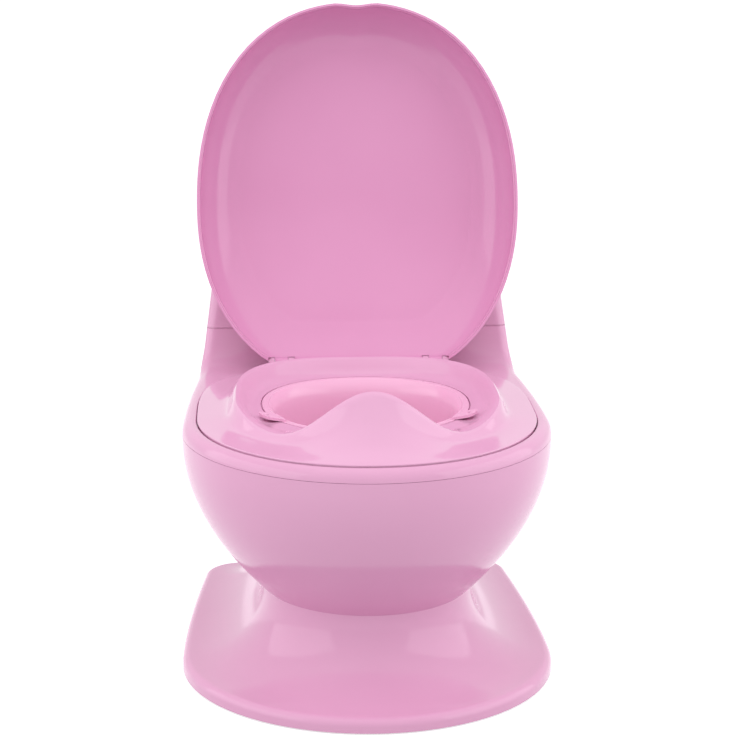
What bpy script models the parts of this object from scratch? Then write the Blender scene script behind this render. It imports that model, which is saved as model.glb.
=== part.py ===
"""Potty training chair, shaped like a small toilet.

Metres, +Z up, the front faces -Y, and the origin is at the bottom centre.
The moulded shells are lofts of plan outlines: every outline runs once round from
the front centre, with the same stations, so any two of them can be joined by faces.
"""
import math

import bmesh
import bpy
from mathutils import Matrix, Vector

# ---- Driving dimensions ------------------------------------------------------
DEPTH = 0.400               # front of the foot to back of the foot
RIM_TOP_Z = 0.2053          # the flat of the rim: everything above the bowl is set from it
FIT_GAP = 0.0003            # between pieces that touch
WALL = 0.0026               # moulded walls

FRONT = -DEPTH / 2
HALF_STEPS = 9              # stations in each quarter of an outline

# Pedestal foot
FOOT_HALF_WIDTH = 0.149
FOOT_WIDEST_Y = FRONT + 0.160
FOOT_TAPER = 0.0195         # how much narrower the foot is at its back
FOOT_CORNER = 0.032
FOOT_EDGE_HEIGHT = 0.0125
FOOT_EDGE_ROUND = 0.0022
FOOT_LIFT = 0.0012          # rubber feet hold the edge this far off the floor

# Neck between foot and bowl
NECK_HALF_WIDTH = 0.0845
NECK_BACK = FRONT + 0.345
NECK_TAPER = 0.012
NECK_CORNER = 0.045
NECK_BOTTOM = 0.066
NECK_TOP = 0.071

# Rim: the parting line between the two shells
RIM_HALF_WIDTH = 0.147
RIM_FRONT = FRONT + 0.0067
RIM_WIDEST_Y = FRONT + 0.165
RIM_BACK = FRONT + 0.3985
RIM_TAPER = 0.0193
RIM_CORNER = 0.022
TAPER_POWER = 1.6
RIM_HEIGHT = 0.0105         # of the rounded rim, above the parting line
PARTING_Z = RIM_TOP_Z - RIM_HEIGHT
RIM_ROUND = 0.0085
RIM_LAND = 0.004            # upright edge just below the parting line

# Deck under the seat
DECK_Z = RIM_TOP_Z - 0.0063
DECK_THICKNESS = 0.0025
SEAT_GAP = 0.0010           # fine gap between seat and rim
DECK_OPENING_HALF = 0.096
DECK_OPENING_FRONT = FRONT + 0.070
DECK_OPENING_BACK = FRONT + 0.288

# Seat ring
SEAT_HALF_WIDTH = 0.1342
SEAT_FRONT = FRONT + 0.0150
SEAT_WIDEST_Y = FRONT + 0.163
SEAT_BACK = FRONT + 0.328
SEAT_FRONT_POWER = 2.05
SEAT_BACK_POWER = 3.5
SEAT_THICKNESS = 0.0026
SEAT_EDGE_ROUND = 0.0020
CREST_HALF_WIDTH = 0.1005
CREST_FRONT = FRONT + 0.056
CREST_WIDEST_Y = FRONT + 0.150
CREST_BACK = FRONT + 0.289
CREST_BACK_POWER = 2.9
CREST_Z = RIM_TOP_Z + 0.0190        # at the sides and the back
SADDLE_Z = RIM_TOP_Z + 0.0068       # each side of the splash guard
GUARD_Z = RIM_TOP_Z + 0.0477        # top of the splash guard
GUARD_HALF_WIDTH = 0.085

# Pot
POT_WALL = 0.0022
POT_MOUTH_HALF = 0.0765
POT_MOUTH_FRONT = FRONT + 0.0995
POT_MOUTH_WIDEST_Y = FRONT + 0.187
POT_MOUTH_BACK = FRONT + 0.268
POT_LIP_WIDTH = 0.0065
POT_LIP_Z = RIM_TOP_Z + 0.0062
POT_DEPTH = 0.1030
POT_FLOOR_Z = POT_LIP_Z - POT_DEPTH
POT_POWER = 2.2
SHELF_STEP = POT_WALL + FIT_GAP     # rebate in the seat that the pot's lip sits in
SHELF_WIDTH = 0.0038
EAR_LENGTH = 0.0145
EAR_SLOPE = 0.25
EAR_WIDTH = 0.020
EAR_HEADING = math.radians(21.7)    # the ears point this far forward of sideways
EAR_THICKNESS = 0.0022
EAR_HOLE_RADIUS = 0.0016

# Lid and its hinge
HINGE_Y = FRONT + 0.313
HINGE_Z = RIM_TOP_Z + 0.0107
LID_LEAN = math.radians(9.0)        # past upright, when open
LID_OPEN_TURN = math.pi / 2 + LID_LEAN
LID_EDGE_DROP = 0.0090              # edge of the lid below the hinge axis, when closed
LID_REAR_LIFT = 0.0022              # how much higher the edge is at the hinge
LID_HALF_WIDTH = 0.1368
LID_TIP = FRONT + 0.0090
LID_WIDEST_Y = FRONT + 0.183
LID_BACK = HINGE_Y + 0.002
LID_FRONT_POWER = 2.3
LID_MIDDLE_Y = FRONT + 0.170
LID_BACK_POWER = 2.8
LID_DEPTH = 0.0525
LID_CAP_CLEARANCE = 0.0560          # how far above the cap the open lid is still shallow
LID_SHALLOWING = 0.68               # share of its depth that the lid loses at the hinge
LID_NOTCH_DEPTH = 0.0025
LID_NOTCH_HALF = 0.016
HINGE_PIN_RADIUS = 0.0022
HINGE_BORE = 0.0003                 # clearance round the pin
KNUCKLE_RADIUS = 0.0052
KNUCKLE_INNER = 0.060
KNUCKLE_WIDTH = 0.011
EAR_PLATE = 0.005                   # thickness of each hinge ear on the seat
HINGE_SIDE_GAP = 0.0004

# Tank and its cap
TANK_SEAM_Z = RIM_TOP_Z + 0.0332
TANK_FRONT = FRONT + 0.347          # at the seam
TANK_LEAN = math.tan(math.radians(13.0))
TANK_DRAFT = 0.10                   # how much the walls come in for each metre up
TANK_BACK = FRONT + 0.3975
TANK_SWEEP_HEIGHT = 0.020           # the front curves forward below this height over the rim
TANK_SWEEP_REACH = 0.020
TANK_FRONT_CORNER = 0.009
TANK_FLOOR_Z = TANK_SEAM_Z - 0.0865
TANK_BIN_HALF = RIM_HALF_WIDTH - 0.037      # leaves room for the rear screws
TANK_BIN_FRONT = TANK_FRONT + 0.004
TANK_BIN_BACK = FRONT + 0.386
TANK_BIN_CORNER = 0.025
CAP_HEIGHT = 0.0515
CAP_TOP_Z = TANK_SEAM_Z + CAP_HEIGHT
CAP_CROWN = 0.0140                  # height of the rounding at the top
CAP_SHOULDER_Z = CAP_TOP_Z - CAP_CROWN
CAP_CROWN_INSET = 0.0095
CAP_FRONT_CORNER = 0.0105
CAP_LIP_DROP = 0.005
CAP_LIP_WALL = 0.0020
CAP_LIP_CLEARANCE = 0.0005

# Flush button and its spring
BUTTON_RADIUS = 0.0090
BUTTON_Y = TANK_FRONT + CAP_HEIGHT * TANK_LEAN + 0.0171
BUTTON_PROUD = 0.0030
BUTTON_HEAD = 0.0100
BUTTON_CLEARANCE = 0.0004
BUTTON_TRAVEL = 0.0020
BUTTON_STEM_RADIUS = 0.0028
COLLAR_WALL = 0.0018
COLLAR_FLOOR_Z = CAP_TOP_Z - 0.0200
COLLAR_FLOOR = 0.0015
SPRING_WIRE = 0.0004
SPRING_RADIUS = 0.0050
SPRING_TURNS = 4

# Sound module, hung under the cap
MODULE_HALF_WIDTH = 0.044
MODULE_FRONT = BUTTON_Y - 0.0160
MODULE_BACK = MODULE_FRONT + 0.0280
MODULE_TOP_Z = CAP_TOP_Z - 0.0280
MODULE_BOTTOM_Z = MODULE_TOP_Z - 0.0220
MODULE_WALL = 0.0016
BOARD_THICKNESS = 0.0014
SWITCH_SIZE = 0.0062
SWITCH_HEIGHT = 0.0055
PLUNGER_RADIUS = 0.0016
PLUNGER_RISE = 0.0020
BOARD_DROP = 0.0030                 # space between the board and the module's roof
DOOR_SCREW_X = -0.0095
GRILLE_PITCH = 0.0045
GRILLE_HOLE_RADIUS = 0.0012
SPEAKER_RADIUS = 0.0118
SPEAKER_HEIGHT = 0.0050
SPEAKER_X = -0.0290
CELL_RADIUS = 0.00525
CELL_LENGTH = 0.0445
CONTACT_THICKNESS = 0.0006
DOOR_THICKNESS = 0.0016
MODULE_SCREW_X = 0.0500
SCREW_BOSS_RADIUS = 0.0042

# Rubber feet and screws
PAD_RADIUS = 0.0130
RUBBER_RADIUS = 0.0110
RUBBER_HEIGHT = 0.0040
RUBBER_X = FOOT_HALF_WIDTH - 0.033
RUBBER_FRONT_Y = FOOT_WIDEST_Y - 0.060
RUBBER_REAR_Y = DEPTH / 2 - 0.045
SCREW_HEAD_RADIUS = 0.0035
SCREW_HEAD_HEIGHT = 0.0022
SCREW_SHANK_RADIUS = 0.0015
SCREW_CLEARANCE = 0.0003
LUG_RADIUS = 0.0060
LUG_TOP_Z = PARTING_Z - 0.0080
LUG_HEIGHT = 0.0060
LUG_INSET = 0.0085
SHELL_SCREW_TURNS = {
    "front_left": (-1, 0.42),
    "front_right": (1, 0.42),
    "rear_left": (-1, 1.46),
    "rear_right": (1, 1.46),
}


# ---- Scene, collections and materials ----------------------------------------
def clear_scene():
    for item in list(bpy.data.objects):
        bpy.data.objects.remove(item, do_unlink=True)
    for group in list(bpy.data.collections):
        bpy.data.collections.remove(group)


clear_scene()
PARTS = bpy.data.collections.new("potty_training_chair")
CUTTERS = bpy.data.collections.new("cutters")
bpy.context.scene.collection.children.link(PARTS)
bpy.context.scene.collection.children.link(CUTTERS)


def make_material(name, colour, roughness, metallic=0.0):
    material = bpy.data.materials.new(name)
    material.use_nodes = True
    shader = material.node_tree.nodes["Principled BSDF"]
    shader.inputs["Base Color"].default_value = (*colour, 1.0)
    shader.inputs["Roughness"].default_value = roughness
    shader.inputs["Metallic"].default_value = metallic
    return material


PINK_SHELL = make_material("pink_shell_plastic", (0.80, 0.38, 0.60), 0.18)
PINK_SEAT = make_material("pink_seat_plastic", (0.84, 0.42, 0.64), 0.15)
PINK_LID = make_material("pink_lid_plastic", (0.82, 0.36, 0.60), 0.18)
PINK_POT = make_material("pink_pot_plastic", (0.80, 0.32, 0.56), 0.22)
SILVER_BUTTON = make_material("silver_button_plastic", (0.75, 0.76, 0.78), 0.25, 0.9)
WHITE_PLASTIC = make_material("white_module_plastic", (0.85, 0.85, 0.83), 0.45)
BLACK_PLASTIC = make_material("black_switch_plastic", (0.03, 0.03, 0.03), 0.45)
GREEN_BOARD = make_material("green_board", (0.05, 0.25, 0.10), 0.5)
STEEL = make_material("steel", (0.62, 0.62, 0.64), 0.3, 1.0)
CELL_JACKET = make_material("cell_jacket", (0.10, 0.18, 0.35), 0.35, 0.4)
SPEAKER_CONE = make_material("speaker_cone", (0.05, 0.05, 0.05), 0.7)
GREY_RUBBER = make_material("grey_rubber", (0.55, 0.55, 0.56), 0.8)


# ---- Mesh helpers ------------------------------------------------------------
# Closed thin shells on which the exact solver leaves stray edges
THIN_SHELLS = ("lid", "tank_cap")


def add_object(name, mesh, material=None, collection=PARTS):
    item = bpy.data.objects.new(name, mesh)
    collection.objects.link(item)
    if material is not None:
        mesh.materials.append(material)
    if collection is CUTTERS:
        item.hide_render = True
        item.display_type = "WIRE"
    return item


def end_faces(points, start, count, fan, downward):
    """Faces that close a ring, as one flat face or as a fan about its middle."""
    ring = list(range(start, start + count))
    if downward:
        ring.reverse()
    if not fan:
        return [tuple(ring)]
    centre = sum((points[place] for place in ring), Vector()) / count
    points.append(centre)
    return [(ring[i - 1], ring[i], len(points) - 1) for i in range(count)]


def loft(name, rings, material=None, collection=PARTS, close_first=False, close_last=False,
         wrap=False, fan=False):
    """Quads between closed rings of points. Rings that go up, seen running
    anticlockwise from above, give faces that point outwards. With wrap, the
    last ring joins the first, which makes a closed band. With fan, an end that
    isn't flat closes on a point in its middle."""
    count = len(rings[0])
    points = [point for ring in rings for point in ring]
    faces = []
    for low in range(len(rings) if wrap else len(rings) - 1):
        high = (low + 1) % len(rings)
        for here in range(count):
            after = (here + 1) % count
            faces.append((low * count + here, low * count + after,
                          high * count + after, high * count + here))
    if close_first:
        faces += end_faces(points, 0, count, fan, True)
    if close_last:
        faces += end_faces(points, (len(rings) - 1) * count, count, fan, False)
    mesh = bpy.data.meshes.new(name)
    mesh.from_pydata(points, [], faces)
    mesh.shade_smooth()
    mesh.set_sharp_from_angle(angle=math.radians(35))
    return add_object(name, mesh, material, collection)


def cylinder(name, radius, low, high, centre, material=None, collection=PARTS, sides=20, axis="Z"):
    """A cylinder along Z from low to high, or along X with centre (y, z)."""
    mesh = bpy.data.meshes.new(name)
    body = bmesh.new()
    bmesh.ops.create_cone(body, cap_ends=True, segments=sides, radius1=radius, radius2=radius,
                          depth=high - low)
    middle = (low + high) / 2
    if axis == "X":
        bmesh.ops.rotate(body, verts=body.verts, matrix=Matrix.Rotation(math.pi / 2, 3, "Y"))
        place = Vector((middle, centre[0], centre[1]))
    else:
        place = Vector((centre[0], centre[1], middle))
    bmesh.ops.translate(body, verts=body.verts, vec=place)
    body.to_mesh(mesh)
    body.free()
    mesh.shade_smooth()
    mesh.set_sharp_from_angle(angle=math.radians(35))
    return add_object(name, mesh, material, collection)


def turned(name, profile, centre, material=None, collection=PARTS, steps=20):
    """A turned solid: its profile of (radius, height) runs from the top down."""
    mesh = bpy.data.meshes.new(name)
    points = [(radius, 0.0, z) for radius, z in profile]
    mesh.from_pydata(points, [(i, i + 1) for i in range(len(points) - 1)], [])
    item = add_object(name, mesh, material, collection)
    item.location = (centre[0], centre[1], 0.0)
    lathe = item.modifiers.new("turn", "SCREW")
    lathe.steps = steps
    lathe.render_steps = steps
    lathe.use_merge_vertices = True
    lathe.merge_threshold = 0.00001
    lathe.use_smooth_shade = True
    return item


def box(name, low, high, material=None, collection=PARTS):
    mesh = bpy.data.meshes.new(name)
    body = bmesh.new()
    bmesh.ops.create_cube(body, size=1.0)
    size = [high[i] - low[i] for i in range(3)]
    middle = [(high[i] + low[i]) / 2 for i in range(3)]
    bmesh.ops.scale(body, verts=body.verts, vec=size)
    bmesh.ops.translate(body, verts=body.verts, vec=middle)
    body.to_mesh(mesh)
    body.free()
    return add_object(name, mesh, material, collection)


def solidify(item, thickness, even=True):
    """Thickens an open surface inwards, away from its normals."""
    wall = item.modifiers.new("wall", "SOLIDIFY")
    wall.thickness = thickness
    wall.offset = -1.0
    wall.use_even_offset = even


def boolean(item, other, operation):
    step = item.modifiers.new(operation.lower() + "_" + other.name, "BOOLEAN")
    step.operation = operation
    step.object = other
    step.solver = "MANIFOLD" if item.name in THIN_SHELLS else "EXACT"


def cut(item, cutter):
    boolean(item, cutter, "DIFFERENCE")


def join(item, extra):
    boolean(item, extra, "UNION")


def bevel(item, width, segments=2):
    edge = item.modifiers.new("edges", "BEVEL")
    edge.width = width
    edge.segments = segments
    edge.limit_method = "ANGLE"
    edge.angle_limit = math.radians(40)


def settled(item, origin):
    """Makes the shaped mesh the object's own, with its origin on a joint's axis."""
    shaped = item.evaluated_get(bpy.context.evaluated_depsgraph_get())
    mesh = bpy.data.meshes.new_from_object(shaped)
    item.modifiers.clear()
    item.data = mesh
    mesh.transform(Matrix.Translation(-Vector(origin)))
    item.location = origin
    return item


# ---- Plan outlines -----------------------------------------------------------
def mirrored(half, z):
    """A full ring from its right half, which runs from front centre to back centre."""
    left = [(-x, y) for x, y in reversed(half[1:-1])]
    return [Vector((x, y, z)) for x, y in half + left]


def quarter(half_width, reach, power, turn):
    """Point on a quarter superellipse, turn 0 at its tip and 1 at its widest."""
    angle = turn * math.pi / 2
    return (half_width * math.sin(angle) ** (2 / power),
            reach * math.cos(angle) ** (2 / power))


def egg(half_width, front, widest, back, front_power=2.0, back_power=2.0):
    """Right half of an egg-shaped outline."""
    half = []
    for step in range(HALF_STEPS + 1):
        x, y = quarter(half_width, widest - front, front_power, step / HALF_STEPS)
        half.append((x, widest - y))
    for step in range(HALF_STEPS - 1, -1, -1):
        x, y = quarter(half_width, back - widest, back_power, step / HALF_STEPS)
        half.append((x, widest + y))
    return half


def side_x(y, half_width, widest, back, taper):
    """Half-width of a tapering side at y."""
    share = max(0.0, (y - widest) / (back - widest))
    return half_width - taper * share ** TAPER_POWER


def corner_arc(x, y, radius, steps, start_turn):
    """Quarter arc that ends square to the last edge; x, y is its centre."""
    arc = []
    for step in range(steps + 1):
        angle = (start_turn + step / steps) * math.pi / 2
        arc.append((x + radius * math.cos(angle), y + radius * math.sin(angle)))
    return arc


def block(half_width, front, widest, back, taper, corner, front_power=2.0):
    """Right half of an outline with an oval front, tapering sides and a square back."""
    half = []
    for step in range(HALF_STEPS + 1):
        x, y = quarter(half_width, widest - front, front_power, step / HALF_STEPS)
        half.append((x, widest - y))
    side_end = back - corner
    side_steps = HALF_STEPS // 2
    for step in range(1, side_steps):
        y = widest + (side_end - widest) * step / side_steps
        half.append((side_x(y, half_width, widest, back, taper), y))
    end_x = side_x(side_end, half_width, widest, back, taper)
    half += corner_arc(end_x - corner, side_end, corner, HALF_STEPS - side_steps - 2, 0.0)
    half.append(((end_x - corner) / 2, back))
    half.append((0.0, back))
    return half


def grown(half, by):
    """The same outline moved outwards by a distance, square to its edge."""
    moved = []
    last = len(half) - 1
    for place, (x, y) in enumerate(half):
        if place == 0:
            moved.append((0.0, y - by))
            continue
        if place == last:
            moved.append((0.0, y + by))
            continue
        before = half[place - 1]
        after = half[place + 1]
        run = Vector((after[0] - before[0], after[1] - before[1])).normalized()
        moved.append((max(0.0, x + run.y * by), y - run.x * by))
    return moved


def towards(half, y, share):
    """The outline drawn in towards a centre at y; share 1 leaves it as it is."""
    return [(x * share, y + (here - y) * share) for x, here in half]


def inner_profile(profile, thickness):
    """The inside of a wall whose outside is a profile of (inset, height) points."""
    inside = []
    last = len(profile) - 1
    for place, (inset, height) in enumerate(profile):
        before = profile[max(0, place - 1)]
        after = profile[min(last, place + 1)]
        run = Vector((after[0] - before[0], after[1] - before[1])).normalized()
        if place == 0:
            run = Vector((0.0, 1.0))
        if place == last:
            run = Vector((1.0, 0.0))
        inside.append((inset + thickness * run.y, height - thickness * run.x))
    return inside


def mixed(half_a, half_b, share):
    return [(ax + (bx - ax) * share, ay + (by - ay) * share)
            for (ax, ay), (bx, by) in zip(half_a, half_b)]


RIM_OUTLINE = block(RIM_HALF_WIDTH, RIM_FRONT, RIM_WIDEST_Y, RIM_BACK, RIM_TAPER, RIM_CORNER)
SEAT_OUTLINE = egg(SEAT_HALF_WIDTH, SEAT_FRONT, SEAT_WIDEST_Y, SEAT_BACK,
                   SEAT_FRONT_POWER, SEAT_BACK_POWER)
POT_OUTLINE = egg(POT_MOUTH_HALF, POT_MOUTH_FRONT, POT_MOUTH_WIDEST_Y, POT_MOUTH_BACK,
                  POT_POWER, POT_POWER)


# ---- Base shell: bowl, neck and foot in one moulding --------------------------
def bowl_outline(drop):
    """Outline of the bowl: drop 0 at the parting line, 1 at the neck."""
    bulge = 1 - drop ** 2
    half_width = NECK_HALF_WIDTH + (RIM_HALF_WIDTH - NECK_HALF_WIDTH) * bulge
    inset = RIM_HALF_WIDTH - half_width
    back = NECK_BACK + (RIM_BACK - NECK_BACK) * bulge
    taper = NECK_TAPER + (RIM_TAPER - NECK_TAPER) * bulge
    corner = NECK_CORNER + (RIM_CORNER - NECK_CORNER) * bulge
    return block(half_width, RIM_FRONT + inset, RIM_WIDEST_Y, back, taper, corner)


def make_base_shell():
    foot_top = FOOT_EDGE_HEIGHT
    foot = block(FOOT_HALF_WIDTH, FRONT, FOOT_WIDEST_Y, DEPTH / 2, FOOT_TAPER, FOOT_CORNER)
    neck = bowl_outline(1.0)
    rings = [mirrored(foot, FOOT_LIFT),
             mirrored(foot, foot_top - FOOT_EDGE_ROUND)]
    flare_steps = 5
    flare_foot = grown(foot, -FOOT_EDGE_ROUND)
    flare = []
    for step in range(flare_steps + 1):
        angle = (1 - step / flare_steps) * math.pi / 2
        share = 1 - math.cos(angle)
        z = foot_top + (NECK_BOTTOM - foot_top) * (1 - math.sin(angle))
        flare.append(mirrored(mixed(neck, flare_foot, share), z))
    rings += flare
    bowl_steps = 6
    rim_z = PARTING_Z - FIT_GAP
    land_z = rim_z - RIM_LAND
    for step in range(bowl_steps, -1, -1):
        drop = (step / bowl_steps) ** 0.8
        rings.append(mirrored(bowl_outline(drop), land_z - (land_z - NECK_TOP) * drop))
    rings.append(mirrored(bowl_outline(0.0), rim_z))
    base = loft("base_shell", rings, PINK_SHELL)
    solidify(base, WALL)
    # the space under the middle of the flare's skin, which the foot pads reach up to
    sunk = [[point - Vector((0.0, 0.0, WALL / 2)) for point in ring] for ring in flare]
    under_skin = loft("under_skin", [mirrored(flare_foot, 0.0)] + sunk, None, CUTTERS, True, True)
    for name, place in rubber_places().items():
        pad = cylinder("pad_" + name, PAD_RADIUS, RUBBER_HEIGHT + FIT_GAP, NECK_BOTTOM / 2,
                       place, None, CUTTERS, 16)
        boolean(pad, under_skin, "INTERSECT")
        join(base, pad)
    for name, place in shell_screw_places().items():
        lug = cylinder("lug_" + name, LUG_RADIUS, LUG_TOP_Z - LUG_HEIGHT, LUG_TOP_Z,
                       place, None, CUTTERS, 12)
        join(base, lug)
        hole = cylinder("lug_hole_" + name, SCREW_SHANK_RADIUS + SCREW_CLEARANCE,
                        LUG_TOP_Z - LUG_HEIGHT - 0.002, LUG_TOP_Z + 0.002, place, None, CUTTERS, 12)
        cut(base, hole)
    return base


def rubber_places():
    return {
        "front_left": (-RUBBER_X, RUBBER_FRONT_Y),
        "front_right": (RUBBER_X, RUBBER_FRONT_Y),
        "rear_left": (-RUBBER_X, RUBBER_REAR_Y),
        "rear_right": (RUBBER_X, RUBBER_REAR_Y),
    }


def shell_screw_places():
    """Screw centres, just inside the rim."""
    line = grown(RIM_OUTLINE, -LUG_INSET)
    places = {}
    for name, (side, turn) in SHELL_SCREW_TURNS.items():
        x, y = line[round(turn * HALF_STEPS)]
        places[name] = (side * x, y)
    return places


# ---- Upper shell: rim, deck and tank body in one moulding ---------------------
def tank_front_at(z):
    """Front face of the tank: it leans back, and sweeps forward at its foot."""
    lean = TANK_FRONT + (z - TANK_SEAM_Z) * TANK_LEAN
    sweep = max(0.0, 1 - (z - RIM_TOP_Z) / TANK_SWEEP_HEIGHT)
    return lean - TANK_SWEEP_REACH * sweep ** 2.5


def tank_inset_at(z):
    return max(0.0, z - RIM_TOP_Z) * TANK_DRAFT + 0.0008


def tank_outline(z, shrink=0.0, corner=TANK_FRONT_CORNER):
    """Right half of the tank's outline at a height; shrink moves it inwards."""
    inset = tank_inset_at(z) + shrink
    front = tank_front_at(z) + shrink
    back = TANK_BACK - 0.3 * tank_inset_at(z) - shrink
    back_corner = RIM_CORNER - shrink
    front_corner = max(0.002, corner - shrink)

    def wall_x(y):
        return side_x(y, RIM_HALF_WIDTH, RIM_WIDEST_Y, RIM_BACK, RIM_TAPER) - inset

    side_start = front + front_corner
    side_end = back - back_corner
    start_x = wall_x(side_start)
    end_x = wall_x(side_end)
    half = [(0.0, front), ((start_x - front_corner) / 2, front)]
    half += corner_arc(start_x - front_corner, side_start, front_corner, 4, -1.0)
    half.append((wall_x((side_start + side_end) / 2), (side_start + side_end) / 2))
    half += corner_arc(end_x - back_corner, side_end, back_corner, 6, 0.0)
    half.append(((end_x - back_corner) / 2, back))
    half.append((0.0, back))
    return half


def make_upper_shell():
    rim_rings = [mirrored(RIM_OUTLINE, PARTING_Z)]
    rim_steps = 4
    for step in range(1, rim_steps + 1):
        angle = step / rim_steps * math.pi / 2
        inset = RIM_ROUND * (1 - math.cos(angle))
        z = PARTING_Z + (RIM_TOP_Z - PARTING_Z) * math.sin(angle)
        rim_rings.append(mirrored(grown(RIM_OUTLINE, -inset), z))
    upper = loft("upper_shell", rim_rings, PINK_SHELL, close_first=True, close_last=True)

    tank_heights = [PARTING_Z + 0.0006, RIM_TOP_Z - 0.001, RIM_TOP_Z + 0.002, RIM_TOP_Z + 0.005,
                    RIM_TOP_Z + 0.010, RIM_TOP_Z + TANK_SWEEP_HEIGHT, TANK_SEAM_Z]
    body = loft("tank_body", [mirrored(tank_outline(z), z) for z in tank_heights],
                None, CUTTERS, True, True)
    join(upper, body)

    recess = grown(SEAT_OUTLINE, SEAT_GAP)
    recess_cutter = loft("seat_recess", [mirrored(recess, DECK_Z), mirrored(recess, RIM_TOP_Z + 0.015)],
                         None, CUTTERS, True, True)
    cut(upper, recess_cutter)

    hollow = grown(RIM_OUTLINE, -WALL)
    hollow_cutter = loft("rim_hollow", [mirrored(hollow, PARTING_Z - 0.005),
                                        mirrored(hollow, DECK_Z - DECK_THICKNESS)],
                         None, CUTTERS, True, True)
    cut(upper, hollow_cutter)

    opening = egg(DECK_OPENING_HALF, DECK_OPENING_FRONT, CREST_WIDEST_Y, DECK_OPENING_BACK, 2.2, 2.6)
    opening_cutter = loft("deck_opening", [mirrored(opening, DECK_Z - 0.010),
                                           mirrored(opening, DECK_Z + 0.010)],
                          None, CUTTERS, True, True)
    cut(upper, opening_cutter)

    join(upper, bin_body("storage_bin", 0.0, TANK_FLOOR_Z - WALL, DECK_Z))
    cut(upper, bin_body("storage_space", WALL, TANK_FLOOR_Z, DECK_Z + 0.008))
    well_foot = tank_outline(RIM_TOP_Z + TANK_SWEEP_HEIGHT + 0.002, WALL)
    well = [mirrored(well_foot, DECK_Z + 0.003),
            mirrored(well_foot, RIM_TOP_Z + TANK_SWEEP_HEIGHT + 0.002),
            mirrored(tank_outline(TANK_SEAM_Z + 0.01, WALL), TANK_SEAM_Z + 0.01)]
    cut(upper, loft("tank_well", well, None, CUTTERS, True, True))

    for name, place in shell_screw_places().items():
        boss = cylinder("boss_" + name, SCREW_BOSS_RADIUS, LUG_TOP_Z + FIT_GAP, DECK_Z - 0.001,
                        place, None, CUTTERS, 12)
        join(upper, boss)
        pilot = cylinder("pilot_" + name, SCREW_SHANK_RADIUS + SCREW_CLEARANCE, LUG_TOP_Z - 0.004,
                         DECK_Z - 0.0012, place, None, CUTTERS, 12)
        cut(upper, pilot)
    return upper


def bin_body(name, shrink, low, high):
    """The storage bin below the tank, with rounded upright corners."""
    half_width = TANK_BIN_HALF - shrink
    front = TANK_BIN_FRONT + shrink
    back = TANK_BIN_BACK - shrink
    front_corner = TANK_FRONT_CORNER - shrink
    back_corner = TANK_BIN_CORNER - shrink
    half = [(0.0, front)]
    half += corner_arc(half_width - front_corner, front + front_corner, front_corner, 4, -1.0)
    half += corner_arc(half_width - back_corner, back - back_corner, back_corner, 5, 0.0)
    half.append((0.0, back))
    return loft(name, [mirrored(half, low), mirrored(half, high)], None, CUTTERS, True, True)


# ---- Seat ring ---------------------------------------------------------------
def crest_outline():
    return egg(CREST_HALF_WIDTH, CREST_FRONT, CREST_WIDEST_Y, CREST_BACK, 2.0, CREST_BACK_POWER)


def guard_share(x, y):
    """How much of the splash guard's height a crest point has."""
    if y > CREST_WIDEST_Y or abs(x) > GUARD_HALF_WIDTH:
        return 0.0
    return (1 - (x / GUARD_HALF_WIDTH) ** 2) ** 3


def crest_height(x, y):
    run = min(1.0, max(0.0, (y - CREST_FRONT - 0.012) / 0.085))
    base = SADDLE_Z + (CREST_Z - SADDLE_Z) * run * run * (3 - 2 * run)
    return base + (GUARD_Z - SADDLE_Z) * guard_share(x, y)


def ring_of(half, heights):
    """A full ring whose height is given for each station of the right half."""
    right = [Vector((x, y, z)) for (x, y), z in zip(half, heights)]
    left = [Vector((-p.x, p.y, p.z)) for p in reversed(right[1:-1])]
    return right + left


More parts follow.
